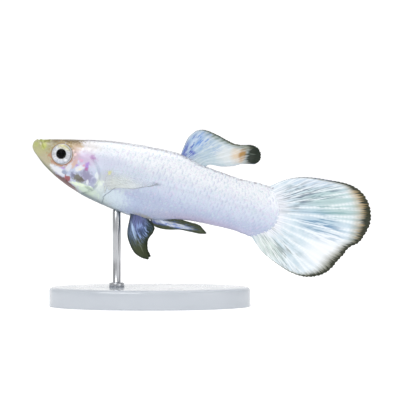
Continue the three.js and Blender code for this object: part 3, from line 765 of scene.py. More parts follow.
def turned(name, outline, side):
    """A profile of [radius, distance out] carried round the eye's axis, then set in its cheek."""
    fine = line_through(outline, EYE_STEPS)
    fine[:, 0] = np.maximum(fine[:, 0], 0)
    fine[[0, -1], 0] = 0
    share = np.linspace(0, 1, len(fine))[:, None]
    around = np.linspace(0, 2 * math.pi, EYE_ROUND + 1)[None, :]
    radius, out = fine[:, :1], fine[:, 1:]
    x = radius * np.cos(around)
    z = radius * np.sin(around)
    y = out + 0 * around
    turned_x = EYE[0] + x * math.cos(EYE_TURN) - y * math.sin(EYE_TURN)
    turned_y = EYE[1] + y * math.cos(EYE_TURN) + x * math.sin(EYE_TURN)
    points = np.stack([turned_x, side * turned_y, EYE[2] + z], axis=-1)
    points[:, -1] = points[:, 0]
    faces = grid_faces(len(fine), EYE_ROUND + 1)
    if side < 0:
        faces = faces[:, ::-1]
    ring_map = np.stack([share + 0 * around, around / (2 * math.pi) + 0 * share], axis=-1)
    span = np.hypot(x, z)
    return make_piece(name, placed(points), faces, {"ring_map": ring_map}, {"span": span})


eyes = {}
for side_name, side in (("left", -1), ("right", 1)):
    eyes[side_name] = [
        turned(f"eyeball_{side_name}", EYE_BALL, side),
        turned(f"lens_{side_name}", LENS, side),
        turned(f"cornea_{side_name}", CORNEA, side),
    ]

# %% [markdown]
# ## The stand
# A swimming fish needs something to hold it. The stand is a low oval block of white acrylic with a
# softened edge, and one thin steel rod with a collar where it enters the block. Both are profiles,
# carried round an oval and round a circle.

# %% Base and rod
BASE = {"x": -6.5, "half_length": 12.5, "half_width": 7.0, "height": 2.4, "round": 0.5}
ROD = {"x": -10.6, "radius": 0.5, "sunk": 0.3, "top": 12.0, "bevel": 0.1}
COLLAR = {"radius": 0.95, "height": 0.55, "round": 0.12, "foot": 0.06}
OVAL_ROUND, ROD_ROUND = 192, 48
FOOT_ROUND = 0.15
QUARTER_STEPS = 8


def quarter(height, radius):
    """Points [inset, height] of a quarter round that ends flat on top, at [radius, height]."""
    angle = np.linspace(0, math.pi / 2, QUARTER_STEPS)
    return np.stack([radius * (1 - np.cos(angle)), height - radius * (1 - np.sin(angle))], -1)


def carried_round(name, x, y, z):
    """A piece from the rings of a profile, with each ring's last point laid on its first."""
    points = np.stack([x, y, z + 0 * x], axis=-1)
    points[:, -1] = points[:, 0]
    return make_piece(name, points * MM, grid_faces(*x.shape))


def stand_base():
    """Rings of the oval, set in by the profile, from the centre of the underside to the top's."""
    upper = quarter(BASE["height"], BASE["round"])
    lower = quarter(0, -FOOT_ROUND)[::-1] * [-1, 1]
    inner = np.linspace(BASE["round"], BASE["half_width"], QUARTER_STEPS)[1:]
    top = np.stack([inner, np.full(inner.shape, BASE["height"])], -1)
    under = np.stack([inner[::-1], np.zeros(inner.shape)], -1)
    outline = np.concatenate([under, lower, upper, top])
    around = np.linspace(0, 2 * math.pi, OVAL_ROUND + 1)[None, :]
    inset, z = outline[:, :1], outline[:, 1:]
    share = 1 - inset / BASE["half_width"]
    length = np.where(inset > BASE["round"], BASE["half_length"] * share, BASE["half_length"] - inset)
    width = BASE["half_width"] - inset
    return carried_round("base_block", BASE["x"] + length * np.cos(around), width * np.sin(around), z)


def stand_rod():
    """The rod's profile of [radius, height], with its collar, turned about the rod's axis."""
    low, top, thin, bevel = BASE["height"], ROD["top"], ROD["radius"], ROD["bevel"]
    wide, c, foot = COLLAR["radius"], COLLAR["round"], COLLAR["foot"]
    high = low + COLLAR["height"]
    outline = np.array([
        [0, low - ROD["sunk"]], [wide, low - ROD["sunk"]], [wide, high - c],
        [wide - 0.3 * c, high - 0.3 * c], [wide - c, high], [thin + foot, high], [thin, high + foot],
        [thin, 6.0], [thin, 9.0], [thin, top - bevel], [thin - bevel, top], [0, top],
    ])
    around = np.linspace(0, 2 * math.pi, ROD_ROUND + 1)[None, :]
    radius, z = outline[:, :1], outline[:, 1:]
    return carried_round("rod", ROD["x"] + radius * np.cos(around), radius * np.sin(around), z)


base_block = stand_base()
rod = stand_rod()

# %% [markdown]
# ## Node helpers
# Materials are node trees. A short helper adds a node, sets its options and joins or fills its
# inputs. What a node puts out is wrapped as a number that can be added and multiplied, and each
# such sum adds the Math node that does it, so that a tree reads like a formula. Effects that
# several materials use are groups, built once with named inputs and outputs.

# %% Node helpers
class Number:
    """What a node puts out. A sum with it adds the Math node that works the sum out."""

    def __init__(self, tree, socket):
        self.tree = tree
        self.socket = socket

    def __add__(self, other):
        return self.tree.math("ADD", self, other)

    def __sub__(self, other):
        return self.tree.math("SUBTRACT", self, other)

    def __rsub__(self, other):
        return self.tree.math("SUBTRACT", other, self)

    def __mul__(self, other):
        return self.tree.math("MULTIPLY", self, other)

    def __truediv__(self, other):
        return self.tree.math("DIVIDE", self, other)


class Tree:
    """Adds nodes to a node tree and joins their inputs."""

    def __init__(self, tree):
        self.tree = tree

    def fill(self, node, inputs):
        """Join each named input to what another node puts out, or set it."""
        for name, value in inputs.items():
            value = value.socket if isinstance(value, Number) else value
            if isinstance(value, bpy.types.NodeSocket):
                self.tree.links.new(value, node.inputs[name])
            else:
                node.inputs[name].default_value = value

    def add(self, kind, inputs=None, **settings):
        """Add a node of a kind, with its options set and its inputs filled."""
        made = self.tree.nodes.new(kind)
        for name, value in settings.items():
            setattr(made, name, value)
        self.fill(made, inputs or {})
        return made

    def read(self, kind, inputs=None, **settings):
        """Add a node and give what it puts out, by name."""
        made = self.add(kind, inputs, **settings)
        return {socket.name: Number(self, socket) for socket in made.outputs}

    def math(self, operation, a, b=0.0):
        """One step of reckoning with one or two numbers."""
        return self.read("ShaderNodeMath", {0: a, 1: b}, operation=operation)["Value"]

    def step(self, value, low, high, start=0.0, end=1.0):
        """From start to end by the smooth step 3t^2 - 2t^3, while the value goes from low to high."""
        ends = {"Value": value, "From Min": low, "From Max": high, "To Min": start, "To Max": end}
        return self.read("ShaderNodeMapRange", ends, interpolation_type="SMOOTHSTEP")["Result"]

    def mix(self, share, a, b):
        """Colour a where the share is 0, and colour b where it is 1."""
        return self.add("ShaderNodeMix", {0: share, 6: a, 7: b}, data_type="RGBA").outputs[2]

    def noise(self, vector, scale, detail=2.0, roughness=0.5):
        """Cloudy noise of about 0.5, whose clouds get smaller as the scale grows."""
        values = {"Vector": vector, "Scale": scale, "Detail": detail, "Roughness": roughness}
        return self.read("ShaderNodeTexNoise", values)["Fac"]

    def group(self, made, inputs=None):
        """Place a group that is already built, and give what it puts out."""
        return self.read("ShaderNodeGroup", inputs, node_tree=made)

    def own_map(self, name):
        """The two shares, X and Y, of the piece's own map."""
        place = self.read("ShaderNodeUVMap", uv_map=name)["UV"]
        split = self.read("ShaderNodeSeparateXYZ", {"Vector": place})
        return split["X"], split["Y"]


def new_group(name, inputs, outputs):
    """An empty group, its tree, what it is given by name, and the node for what it puts out."""
    made = bpy.data.node_groups.new(name, "ShaderNodeTree")
    for socket_name, kind, default in inputs:
        socket = made.interface.new_socket(name=socket_name, in_out="INPUT", socket_type=kind)
        if default is not None:
            socket.default_value = default
    for socket_name, kind in outputs:
        made.interface.new_socket(name=socket_name, in_out="OUTPUT", socket_type=kind)
    tree = Tree(made)
    print("Group:", name)
    return made, tree, tree.read("NodeGroupInput"), tree.add("NodeGroupOutput")


def colour(red, green, blue):
    """A colour as the eye reads it, 0 to 255, turned into the linear light that shaders use."""
    share = np.array([red, green, blue]) / 255
    linear = np.where(share <= 0.04045, share / 12.92, ((share + 0.055) / 1.055) ** 2.4)
    return (*linear.tolist(), 1.0)


def new_material(name):
    """A material, the tree that feeds it and its shader."""
    made = bpy.data.materials.new(name)
    made.use_nodes = True
    print("Material:", name)
    return made, Tree(made.node_tree), made.node_tree.nodes["Principled BSDF"]


FLOAT, VECTOR, COLOUR = "NodeSocketFloat", "NodeSocketVector", "NodeSocketColor"
print("Middle grey in linear light:", round(colour(128, 128, 128)[0], 3))

# %% [markdown]
# ## Where a point is on the fish
# The markings are placed in the fish's own frame, in millimetres. Object coordinates are in metres
# in the world, so one group turns them back: a Mapping node of the kind Texture undoes the move,
# the pitch and the scale.

# %% Group: place on the fish
place_group, tree, _, out = new_group(
    "Place on the fish", [], [("Place", VECTOR), ("X", FLOAT), ("Z", FLOAT)]
)
place = tree.read("ShaderNodeMapping", {
    "Vector": tree.read("ShaderNodeTexCoord")["Object"],
    "Location": (SNOUT * MM).tolist(), "Rotation": (0, PITCH, 0), "Scale": (MM, MM, MM),
}, vector_type="TEXTURE")["Vector"]
split = tree.read("ShaderNodeSeparateXYZ", {"Vector": place})
tree.fill(out, {"Place": place, "X": split["X"], "Z": split["Z"]})

# %% [markdown]
# A spot is a soft oval mask: 1 inside, fading to 0 outside, turned to lie along the head or back.
# Noise moves its edge a little, so that no two spots look stamped.

# %% Group: soft oval spot
spot_group, tree, given, out = new_group(
    "Soft spot",
    [("X", FLOAT, None), ("Z", FLOAT, None), ("Ragged", FLOAT, 0.0), ("Centre X", FLOAT, 0.0),
     ("Centre Z", FLOAT, 0.0), ("Half length", FLOAT, 1.0), ("Half height", FLOAT, 1.0),
     ("Turn", FLOAT, 0.0), ("Softness", FLOAT, 0.5)],
    [("Mask", FLOAT)],
)
dx, dz = given["X"] - given["Centre X"], given["Z"] - given["Centre Z"]
turn_cos, turn_sin = tree.math("COSINE", given["Turn"]), tree.math("SINE", given["Turn"])
along = (dx * turn_cos + dz * turn_sin) / given["Half length"]
up = (dz * turn_cos - dx * turn_sin) / given["Half height"]
square = tree.math("POWER", along, 2.0) + tree.math("POWER", up, 2.0)
span = tree.math("SQRT", square) + given["Ragged"]
mask = tree.step(span, 1.0 - given["Softness"], given["Softness"] + 1.0, 1.0, 0.0)
tree.fill(out, {"Mask": mask})

# %% [markdown]
# ## Markings
# The body is pearl white, cooler and more lavender lower down. This change from back to belly is partly
# the fish's own tint and partly painted shade, lighter on top and darker below as under a light from
# above. The snout and the top of the head are olive, and the cheek carries small patches of silver,
# pink, violet and dark red. Skin and scales share this one group, so the markings run on across both.

# %% Group: markings of the body
BACK_WHITE_LIT = colour(236, 239, 243)
FLANK_PEARL = colour(207, 215, 229)
LOW_LAVENDER_SHADE = colour(176, 186, 211)
ROSE_CLOUD = colour(210, 198, 222)
MINT_CLOUD = colour(196, 214, 222)
RAGGED = 1.9
CLOUD_HEIGHT = 1.6
# centre x and z, half length, half height, turn in degrees, softness, strength, and red, green and blue
BODY_SPOTS = {
    "mint belly": (9.8, -3.4, 3.2, 1.5, -10, 0.5, 0.85, 188, 202, 200),
    "belly lilac": (13.2, -2.9, 1.9, 1.3, -8, 0.6, 0.6, 176, 190, 217),
    "mint breast": (11.9, -2.9, 1.6, 1.0, -10, 0.5, 0.8, 204, 217, 226),
    "vent olive": (15.9, -4.2, 1.3, 0.32, -4, 0.5, 0.65, 172, 166, 140),
    "rear rose": (23.5, -2.7, 5.0, 0.7, 5, 0.6, 0.6, 202, 186, 212),
    "lavender band": (9.6, 1.0, 1.9, 0.7, 14, 0.6, 0.5, 196, 198, 220),
    "nape cream": (6.6, 1.9, 1.6, 0.7, 17, 0.6, 0.6, 218, 210, 206),
    "head ground": (2.3, 0.0, 2.9, 2.5, 8, 0.18, 0.92, 174, 168, 138),
    "snout": (0.9, 0.0, 1.3, 1.4, 0, 0.5, 0.8, 166, 166, 118),
    "snout tip glow": (0.4, 0.25, 0.36, 0.32, 0, 0.5, 0.6, 184, 192, 118),
    "snout glow": (1.5, 0.42, 0.3, 0.46, 0, 0.6, 0.7, 190, 198, 104),
    "lip glow": (1.2, -0.4, 0.45, 0.4, 0, 0.6, 0.4, 182, 188, 124),
    "jaw beige": (2.0, -0.9, 1.2, 0.5, -32, 0.6, 0.6, 178, 168, 140),
    "pale lip": (0.95, 0.62, 0.08, 0.26, 30, 0.4, 0.7, 222, 218, 196),
    "forehead olive": (1.4, 1.16, 0.9, 0.28, 17, 0.5, 0.85, 152, 164, 52),
    "forehead grey": (2.3, 1.05, 0.8, 0.35, 17, 0.5, 0.5, 158, 150, 130),
    "nape tan": (5.1, 1.7, 1.0, 0.62, 17, 0.5, 0.85, 180, 156, 118),
    # Dark brown along the top of the head: partly the head's own colour and partly painted shade at its
    # outline.
    "crown with edge shade": (3.9, 2.0, 2.4, 0.46, 17, 0.5, 0.95, 100, 80, 36),
    "temple": (5.5, 0.55, 0.75, 0.95, 10, 0.55, 0.8, 198, 170, 160),
    "eye surround": (3.9, 0.11, 1.5, 1.5, 0, 0.1, 0.75, 166, 148, 106),
    "ring below the eye": (4.05, -0.55, 1.45, 0.98, 8, 0.2, 0.85, 180, 132, 112),
    "silver cheek": (4.2, -1.95, 1.35, 0.42, -14, 0.3, 0.95, 218, 221, 228),
    "silver rear": (5.2, -1.15, 0.3, 0.75, -25, 0.4, 0.9, 214, 217, 226),
    "grey fleck": (4.9, -1.9, 0.36, 0.28, -20, 0.45, 0.9, 138, 148, 176),
    "violet under the eye": (4.5, -1.47, 0.3, 0.14, 0, 0.5, 0.7, 176, 150, 216),
    "orange band": (5.78, -0.35, 0.28, 0.75, -12, 0.5, 0.75, 206, 166, 138),
    "lilac field": (6.9, 0.5, 1.25, 0.85, 10, 0.6, 0.8, 200, 180, 208),
    "pink dot high": (5.51, 0.59, 0.16, 0.16, 0, 0.5, 0.8, 250, 220, 220),
    "pink dot low": (5.14, 0.99, 0.14, 0.14, 0, 0.5, 0.7, 246, 220, 206),
    "violet streak": (7.3, -0.28, 0.24, 0.5, -5, 0.5, 0.85, 160, 118, 200),
    "magenta fleck": (7.38, -0.72, 0.2, 0.2, 0, 0.5, 0.85, 184, 88, 148),
    "violet fleck": (6.15, -0.66, 0.26, 0.2, 0, 0.5, 0.7, 170, 130, 200),
    "grey violet": (7.65, -1.55, 0.95, 0.68, -30, 0.5, 0.85, 136, 130, 160),
    "olive gill": (6.65, -2.05, 0.75, 0.45, -12, 0.4, 0.9, 104, 100, 84),
    "brown gill": (7.15, -2.28, 0.5, 0.3, 0, 0.5, 0.7, 96, 88, 84),
    "slate fleck": (5.9, -1.9, 0.26, 0.4, 15, 0.5, 0.75, 122, 122, 152),
    "white gill spot": (6.5, -0.85, 0.62, 0.3, 38, 0.35, 0.9, 220, 222, 226),
    "yellow fleck": (6.62, -0.95, 0.18, 0.14, 0, 0.5, 0.5, 240, 224, 160),
    "mint throat": (8.1, -3.2, 1.5, 0.55, -10, 0.5, 0.85, 200, 216, 198),
    "white rim": (6.9, -2.8, 1.15, 0.2, 4, 0.4, 0.85, 222, 234, 210),
    "red gill": (5.42, -2.58, 0.46, 0.36, -20, 0.35, 0.9, 142, 58, 62),
    "maroon throat": (5.4, -3.08, 1.75, 0.26, -19, 0.35, 0.9, 92, 56, 54),
    "lavender mottle": (8.55, -2.2, 0.4, 0.8, 8, 0.5, 0.7, 156, 158, 190),
    "white gill fleck": (7.95, -2.2, 0.16, 0.3, 20, 0.4, 0.8, 222, 226, 232),
    "mint gill fleck": (8.6, -2.75, 0.34, 0.16, -20, 0.4, 0.8, 222, 236, 220),
    "rose gill fleck": (6.9, -0.35, 0.2, 0.16, 30, 0.5, 0.7, 206, 140, 170),
    "white shoulder": (9.4, -1.9, 0.6, 0.9, 20, 0.5, 0.8, 212, 222, 220),
    "grey shoulder": (10.1, -1.1, 0.9, 1.0, 0, 0.6, 0.6, 186, 190, 190),
    "mint shoulder": (12.1, -1.0, 1.5, 0.9, 6, 0.6, 0.6, 212, 221, 224),
    "pink fleck": (7.7, 0.9, 0.35, 0.25, 0, 0.5, 0.8, 182, 142, 190),
    "rose fleck": (6.4, 0.15, 0.3, 0.22, 20, 0.5, 0.7, 214, 160, 190),
    "mint fleck": (9.4, -1.84, 0.45, 0.32, 10, 0.4, 0.85, 226, 236, 224),
    "shoulder fleck": (8.9, -1.1, 0.3, 0.42, 15, 0.4, 0.7, 222, 228, 232),
    "slate mottle": (8.75, -1.73, 0.28, 0.36, 0, 0.5, 0.75, 142, 144, 178),
    "throat fleck": (8.3, -2.85, 0.5, 0.16, -8, 0.5, 0.7, 150, 168, 152),
    "gold fleck": (10.2, -0.25, 0.2, 0.28, 0, 0.5, 0.7, 216, 216, 138),
    # Painted shade in the shoulder's fold, as three thin dark lines.
    "fold shade foot": (10.42, -3.85, 0.5, 0.05, 88, 0.4, 0.8, 112, 122, 138),
    "fold shade top": (10.5, -3.05, 0.42, 0.05, 62, 0.4, 0.8, 112, 122, 138),
    "fold shade rear": (10.9, -2.5, 0.5, 0.05, 54, 0.4, 0.8, 112, 122, 138),
    # Painted shadow of the side fin's tip on the flank.
    "fin tip shadow": (16.2, 0.25, 0.6, 0.22, 12, 0.5, 0.8, 166, 174, 192),
}
EYE_RINGS = {
    "eye rim": (3.9, 0.12, 1.37, 1.37, 0, 0.05, 0.8, 116, 90, 60),
    "eye border": (3.9, 0.12, 1.27, 1.27, 0, 0.04, 0.95, 206, 208, 214),
}


def paint_spots(tree, where, ragged, tint, spots, share=1.0):
    """Lay spots over a colour in the order of their table, each with the soft spot's mask."""
    for x, z, length, tall, turn, softness, strength, *shade in spots.values():
        spot = tree.group(spot_group, {
            "X": where["X"], "Z": where["Z"], "Ragged": ragged, "Centre X": x, "Centre Z": z,
            "Half length": length, "Half height": tall, "Turn": math.radians(turn),
            "Softness": softness,
        })
        tint = tree.mix(spot["Mask"] * strength * share, tint, colour(*shade))
    return tint


marking_group, tree, _, out = new_group("Body markings", [], [("Colour", COLOUR)])
where = tree.group(place_group)
cloud = tree.noise(where["Place"], 0.9, 3.0)
fine_cloud = tree.noise(where["Place"], 3.2, 3.0)
ragged = (fine_cloud - 0.5) * RAGGED
height = where["Z"] + (cloud - 0.5) * CLOUD_HEIGHT
# Painted shade: the white back to the lavender belly is partly the body's own tint and partly shade from a
# light above.
tint = tree.mix(tree.step(height, 3.0, 0.4), BACK_WHITE_LIT, FLANK_PEARL)
tint = tree.mix(tree.step(height, 0.8, -1.8), tint, LOW_LAVENDER_SHADE)
tint = tree.mix(tree.step(fine_cloud, 0.52, 0.7, 0.0, 0.5), tint, ROSE_CLOUD)
tint = tree.mix(tree.step(fine_cloud, 0.48, 0.3, 0.0, 0.6), tint, MINT_CLOUD)
tint = paint_spots(tree, where, ragged, tint, BODY_SPOTS)
spotted = paint_spots(tree, where, 0.0, tint, EYE_RINGS)
print("Spots:", len(BODY_SPOTS), "and rings round the eye:", len(EYE_RINGS))

# %% [markdown]
# In the photo a thin dark line borders the fish all round. Along the back, the belly and the stalk's end
# this group paints such a line as painted shade where the body turns away at its outline; near the head
# the belly's line is also the olive jaw line and the maroon throat line. It is placed by the body's own
# map: X is the share of the length, and Y the share of the way round, from the belly at 0 by the back at
# 0.5 to the belly.

# %% Painted shade lines along the back, the belly and the stalk's end
along_body, round_body = tree.own_map("body_map")
from_back = tree.math("ABSOLUTE", round_body - 0.5)
broken = tree.math("MAXIMUM", tree.step(fine_cloud, 0.4, 0.6, 0.1, 0.8), tree.step(where["X"], 13.0, 7.0))
# Painted shade along the back's outline, brown on the head and grey behind it.
back_edge_shade = tree.step(from_back, 0.08, 0.03) * broken * tree.step(where["X"], 1.0, 2.6, 0.0, 0.9)
back_edge_shade_tint = tree.mix(tree.step(where["X"], 5.2, 6.6), colour(96, 78, 34), colour(112, 108, 118))
tint = tree.mix(back_edge_shade, spotted, back_edge_shade_tint)
# Painted shade where the stalk ends and the tail fin starts.
end_edge_shade = tree.step(along_body, 0.988, 0.996) * 0.55
tint = tree.mix(end_edge_shade, tint, colour(140, 148, 170))
# Painted shade along the belly's outline; olive at the jaw and maroon at the throat are the fish's own
# lines.
belly_edge_shade_width = tree.step(where["X"], 8.0, 16.0, 0.08, 0.035)
belly_edge_shade = tree.step((0.5 - from_back) / belly_edge_shade_width, 1.3, 0.5)
belly_edge_shade = belly_edge_shade * tree.step(where["X"], 20.0, 14.0, 0.45, 0.95)
belly_edge_shade_tint = tree.mix(tree.step(where["X"], 3.2, 4.4), colour(90, 94, 60), colour(104, 74, 72))
belly_edge_shade_tint = tree.mix(tree.step(where["X"], 6.4, 7.6), belly_edge_shade_tint, colour(96, 110, 116))
tint = tree.mix(belly_edge_shade, tint, belly_edge_shade_tint)
tree.fill(out, {"Colour": tint})
print("Nodes in the markings:", len(tree.tree.nodes))

# %% [markdown]
# ## Wet skin
# Fish skin is wet and full of tiny mirrors, so it has a clear coat over a soft pearly shine. A
# group gives the roughness and the fine grain to skin, scales and fins alike.

# %% Group: wet grain
WET_SHINE = {"Specular IOR Level": 0.25, "Metallic": 0.1, "Coat Weight": 0.2, "Coat Roughness": 0.12}

grain_group, tree, given, out = new_group(
    "Wet grain",
    [("Place", VECTOR, None), ("Size", FLOAT, 8.0), ("Low", FLOAT, 0.25), ("High", FLOAT, 0.45)],
    [("Roughness", FLOAT), ("Height", FLOAT)],
)
specks = tree.noise(given["Place"], given["Size"], 4.0, 0.6)
roughness = tree.read("ShaderNodeMapRange", {
    "Value": specks, "From Min": 0.3, "From Max": 0.7, "To Min": given["Low"], "To Max": given["High"],
})["Result"]
tree.fill(out, {"Roughness": roughness, "Height": specks})


def add_grain(tree, shader, where, size, low, high, strength, depth):
    """Feed the shader's roughness and a fine bump from the wet grain."""
    grain = tree.group(grain_group, {"Place": where["Place"], "Size": size, "Low": low, "High": high})
    bump = tree.read("ShaderNodeBump", {
        "Strength": strength, "Distance": depth, "Height": grain["Height"],
    })
    tree.fill(shader, {"Roughness": grain["Roughness"], "Normal": bump["Normal"]})

# %% [markdown]
# The skin shows the markings as they are. Each scale also gets a darker, cooler tint towards its free
# edge, read from its own map: painted shade where that edge stands over the next scale. The tint is
# faint near the head and stronger along the flank, as in the photo, and a large soft noise leaves some
# scales without it.

# %% Materials of skin and scales
skin_material, tree, shader = new_material("Wet skin")
tree.fill(shader, {"Base Color": tree.group(marking_group)["Colour"], **WET_SHINE})
add_grain(tree, shader, tree.group(place_group), 5.0, 0.28, 0.48, 0.25, 0.00003)

scale_material, tree, shader = new_material("Pearl scales")
where = tree.group(place_group)
_, outwards = tree.own_map("scale_map")
patchy = tree.step(tree.noise(where["Place"], 1.1, 3.0), 0.4, 0.62, 0.25, 1.0)
# Painted shade at each scale's free edge, where it stands over the next scale.
edge_shade_share = tree.step(outwards, 0.7, 1.0) * tree.step(where["X"], 9.0, 15.0, 0.08, 0.42) * patchy
tint = tree.mix(edge_shade_share, tree.group(marking_group)["Colour"], colour(150, 160, 196))
tree.fill(shader, {"Base Color": tint, **WET_SHINE})
add_grain(tree, shader, where, 7.0, 0.22, 0.4, 0.2, 0.00002)

# %% [markdown]
# ## Fins: web, rays and margins
# The fins' patterns follow the rays, so they read the fin's own map: X is the share across the
# rays and Y the share outwards. Streaks are noise stretched along the rays, and the dark margin is
# a band whose width changes across the fin, read from a curve. Larger patches of colour are soft
# spots in the fish's frame, as on the body.

# %% Material of the fins
FIN_SHINE = {"Specular IOR Level": 0.12, "Coat Weight": 0.08, "Coat Roughness": 0.2}
FIN_RAGGED, HATCH_FINENESS, MARGIN_STRENGTH, LEAST_BAND = 0.8, 2.4, 0.97, 0.001
PLAIN_FIN = {"veil": 0.0001, "over": {}, "margin_spots": {}, "halo_spots": {}}


def band_width(tree, across, stops):
    """Width of a band, as a share of the fin's length, from a few [share across, width] stops."""
    ramp = tree.add("ShaderNodeValToRGB", {"Fac": across})
    ramp.color_ramp.interpolation = "EASE"
    elements = ramp.color_ramp.elements
    while len(elements) < len(stops):
        elements.new(0.5)
    for element, (place, width) in zip(elements, stops):
        element.position = place
        element.color = (width, width, width, 1)
    return ramp.outputs["Color"]


def stretched_noise(tree, across, out, across_scale, out_scale):
    """Noise on the fin's map, finer across the rays than along them."""
    place = tree.read("ShaderNodeCombineXYZ", {"X": across * across_scale, "Y": out * out_scale})
    return tree.noise(place["Vector"], 1.0, 2.0, 0.6)


def fin_material(name, look):
    """A thin wet fin: web, rays, spots, streaks along the rays, and a band along the margin."""
    look = {**PLAIN_FIN, **look}
    made, tree, shader = new_material(name)
    where = tree.group(place_group)
    across, out = tree.own_map("ray_map")
    rib = tree.read("ShaderNodeAttribute", attribute_name="rib")["Fac"]
    lines, bits = look["streaks"]
    streaks = stretched_noise(tree, across, out, lines, bits)
    hatch = stretched_noise(tree, across, out, lines * HATCH_FINENESS, bits)
    broad = stretched_noise(tree, across, out, lines / 4, bits / 2)
    cloud = tree.noise(where["Place"], 1.4, 3.0)
    ragged = (streaks - 0.5) * FIN_RAGGED
    dashes = tree.step(streaks, 0.47, 0.59) * tree.step(broad, 0.34, 0.52)

    tint = tree.mix(tree.step(cloud, 0.35, 0.65), look["web"], look["web_deep"])
    tint = paint_spots(tree, where, ragged, tint, look["spots"])
    tint = tree.mix(rib * look["ray_share"], tint, look["ray"])
    tint = paint_spots(tree, where, ragged, tint, look["streaked"], dashes)

    width = tree.math("MAXIMUM", band_width(tree, across, look["band"]), LEAST_BAND)
    near = (1.0 - out) / width + (hatch - 0.5) * look["uneven"]
    halo_tint = paint_spots(tree, where, ragged, look["halo"], look["halo_spots"])
    halo = tree.step(near, 2.9, 1.0) * tree.step(hatch, 0.36, 0.58, 0.25, 0.9)
    tint = tree.mix(halo, tint, halo_tint)
    dark = tree.step(near, 1.5, 0.45)
    margin_tint = paint_spots(tree, where, ragged, look["margin"], look["margin_spots"])
    tint = tree.mix(dark * MARGIN_STRENGTH, tint, margin_tint)
    tint = paint_spots(tree, where, ragged, tint, look["over"])
    from_side = tree.math("MINIMUM", across, 1.0 - across)
    side = tree.step(from_side, look["side"], 0.0) * tree.step(cloud, 0.3, 0.6, 0.3, 0.8)
    tint = tree.mix(side, tint, look["side_tint"])

    solid = tree.math("MAXIMUM", rib * look["ray_solid"], dark)
    veil = tree.step(across, 0.0, look["veil"], 0.0, look["clear"])
    alpha = tree.read("ShaderNodeMapRange", {"Value": solid, "To Min": veil, "To Max": 1.0})["Result"]
    tree.fill(shader, {"Base Color": tint, "Alpha": alpha, **FIN_SHINE})
    add_grain(tree, shader, where, 6.0, 0.35, 0.55, 0.15, 0.00002)
    return made


print("A fin's look may leave out:", ", ".join(PLAIN_FIN))

# %% [markdown]
# The tail fin is near white at its foot and in the lower lobe, teal and blue between, and has a
# black margin that fades inwards through gold. Dark streaks lie between the upper rays.

# %% Tail fin's finish
tail_material = fin_material("Tail fin", {
    "web": colour(218, 230, 238), "web_deep": colour(202, 220, 230), "ray": colour(246, 249, 252),
    "ray_share": 0.75, "ray_solid": 0.6, "clear": 0.9,
    "streaks": (84.0, 3.6), "uneven": 3.2,
    "spots": {
        "white foot": (30.9, 1.0, 1.7, 3.2, 0, 0.5, 0.85, 241, 241, 249),
        "teal field": (38.2, 4.6, 4.0, 1.9, 12, 0.5, 0.85, 178, 204, 204),
        "blue field": (37.4, 1.9, 3.4, 1.5, -12, 0.6, 0.55, 182, 206, 224),
        "blue rim": (41.6, 1.6, 0.8, 2.2, 10, 0.6, 0.7, 168, 196, 208),
        "white lobe": (38.6, -1.3, 2.1, 2.6, -50, 0.6, 0.9, 245, 248, 252),
        "mint foot": (31.8, -3.1, 2.0, 1.0, -25, 0.6, 0.6, 216, 226, 214),
        "top blue": (34.6, 6.4, 2.8, 0.6, 14, 0.6, 0.4, 186, 202, 226),
    },
    "streaked": {
        "upper streaks": (34.8, 5.0, 4.0, 1.4, 20, 0.5, 0.75, 84, 106, 130),
        "teal streaks": (37.6, 4.2, 2.8, 1.6, 14, 0.5, 0.6, 104, 152, 158),
        "middle streaks": (36.9, 1.6, 3.0, 1.5, -12, 0.5, 0.9, 100, 142, 176),
        "lower streaks": (33.2, -2.8, 3.6, 1.9, -38, 0.6, 0.65, 112, 130, 128),
        "foot streaks": (32.9, 3.4, 2.4, 1.6, 36, 0.5, 0.6, 96, 110, 124),
    },
    "margin": colour(40, 44, 30), "halo": colour(136, 136, 118),
    "margin_spots": {
        "blue top": (33.6, 6.8, 3.4, 1.2, 12, 0.5, 0.9, 88, 102, 126),
        "grey foot": (33.6, -4.7, 2.6, 0.9, -14, 0.5, 0.9, 112, 126, 122),
    },
    "halo_spots": {
        "gold": (41.6, 4.2, 1.6, 3.0, 20, 0.5, 0.9, 166, 138, 82),
        "gold shoulder": (40.4, 6.3, 1.4, 0.9, -20, 0.5, 0.8, 186, 152, 92),
    },
    "side": 0.004, "side_tint": colour(150, 160, 168),
    "band": [(0.0, 0.014), (0.12, 0.03), (0.27, 0.042), (0.34, 0.068), (0.44, 0.078), (0.57, 0.055),
             (0.65, 0.075), (0.73, 0.05), (0.79, 0.025), (1.0, 0.012)],
})

# %% [markdown]
# The back fin has violet and blue streaks at its front, a pale middle, a patch of orange and a
# black-green tip.

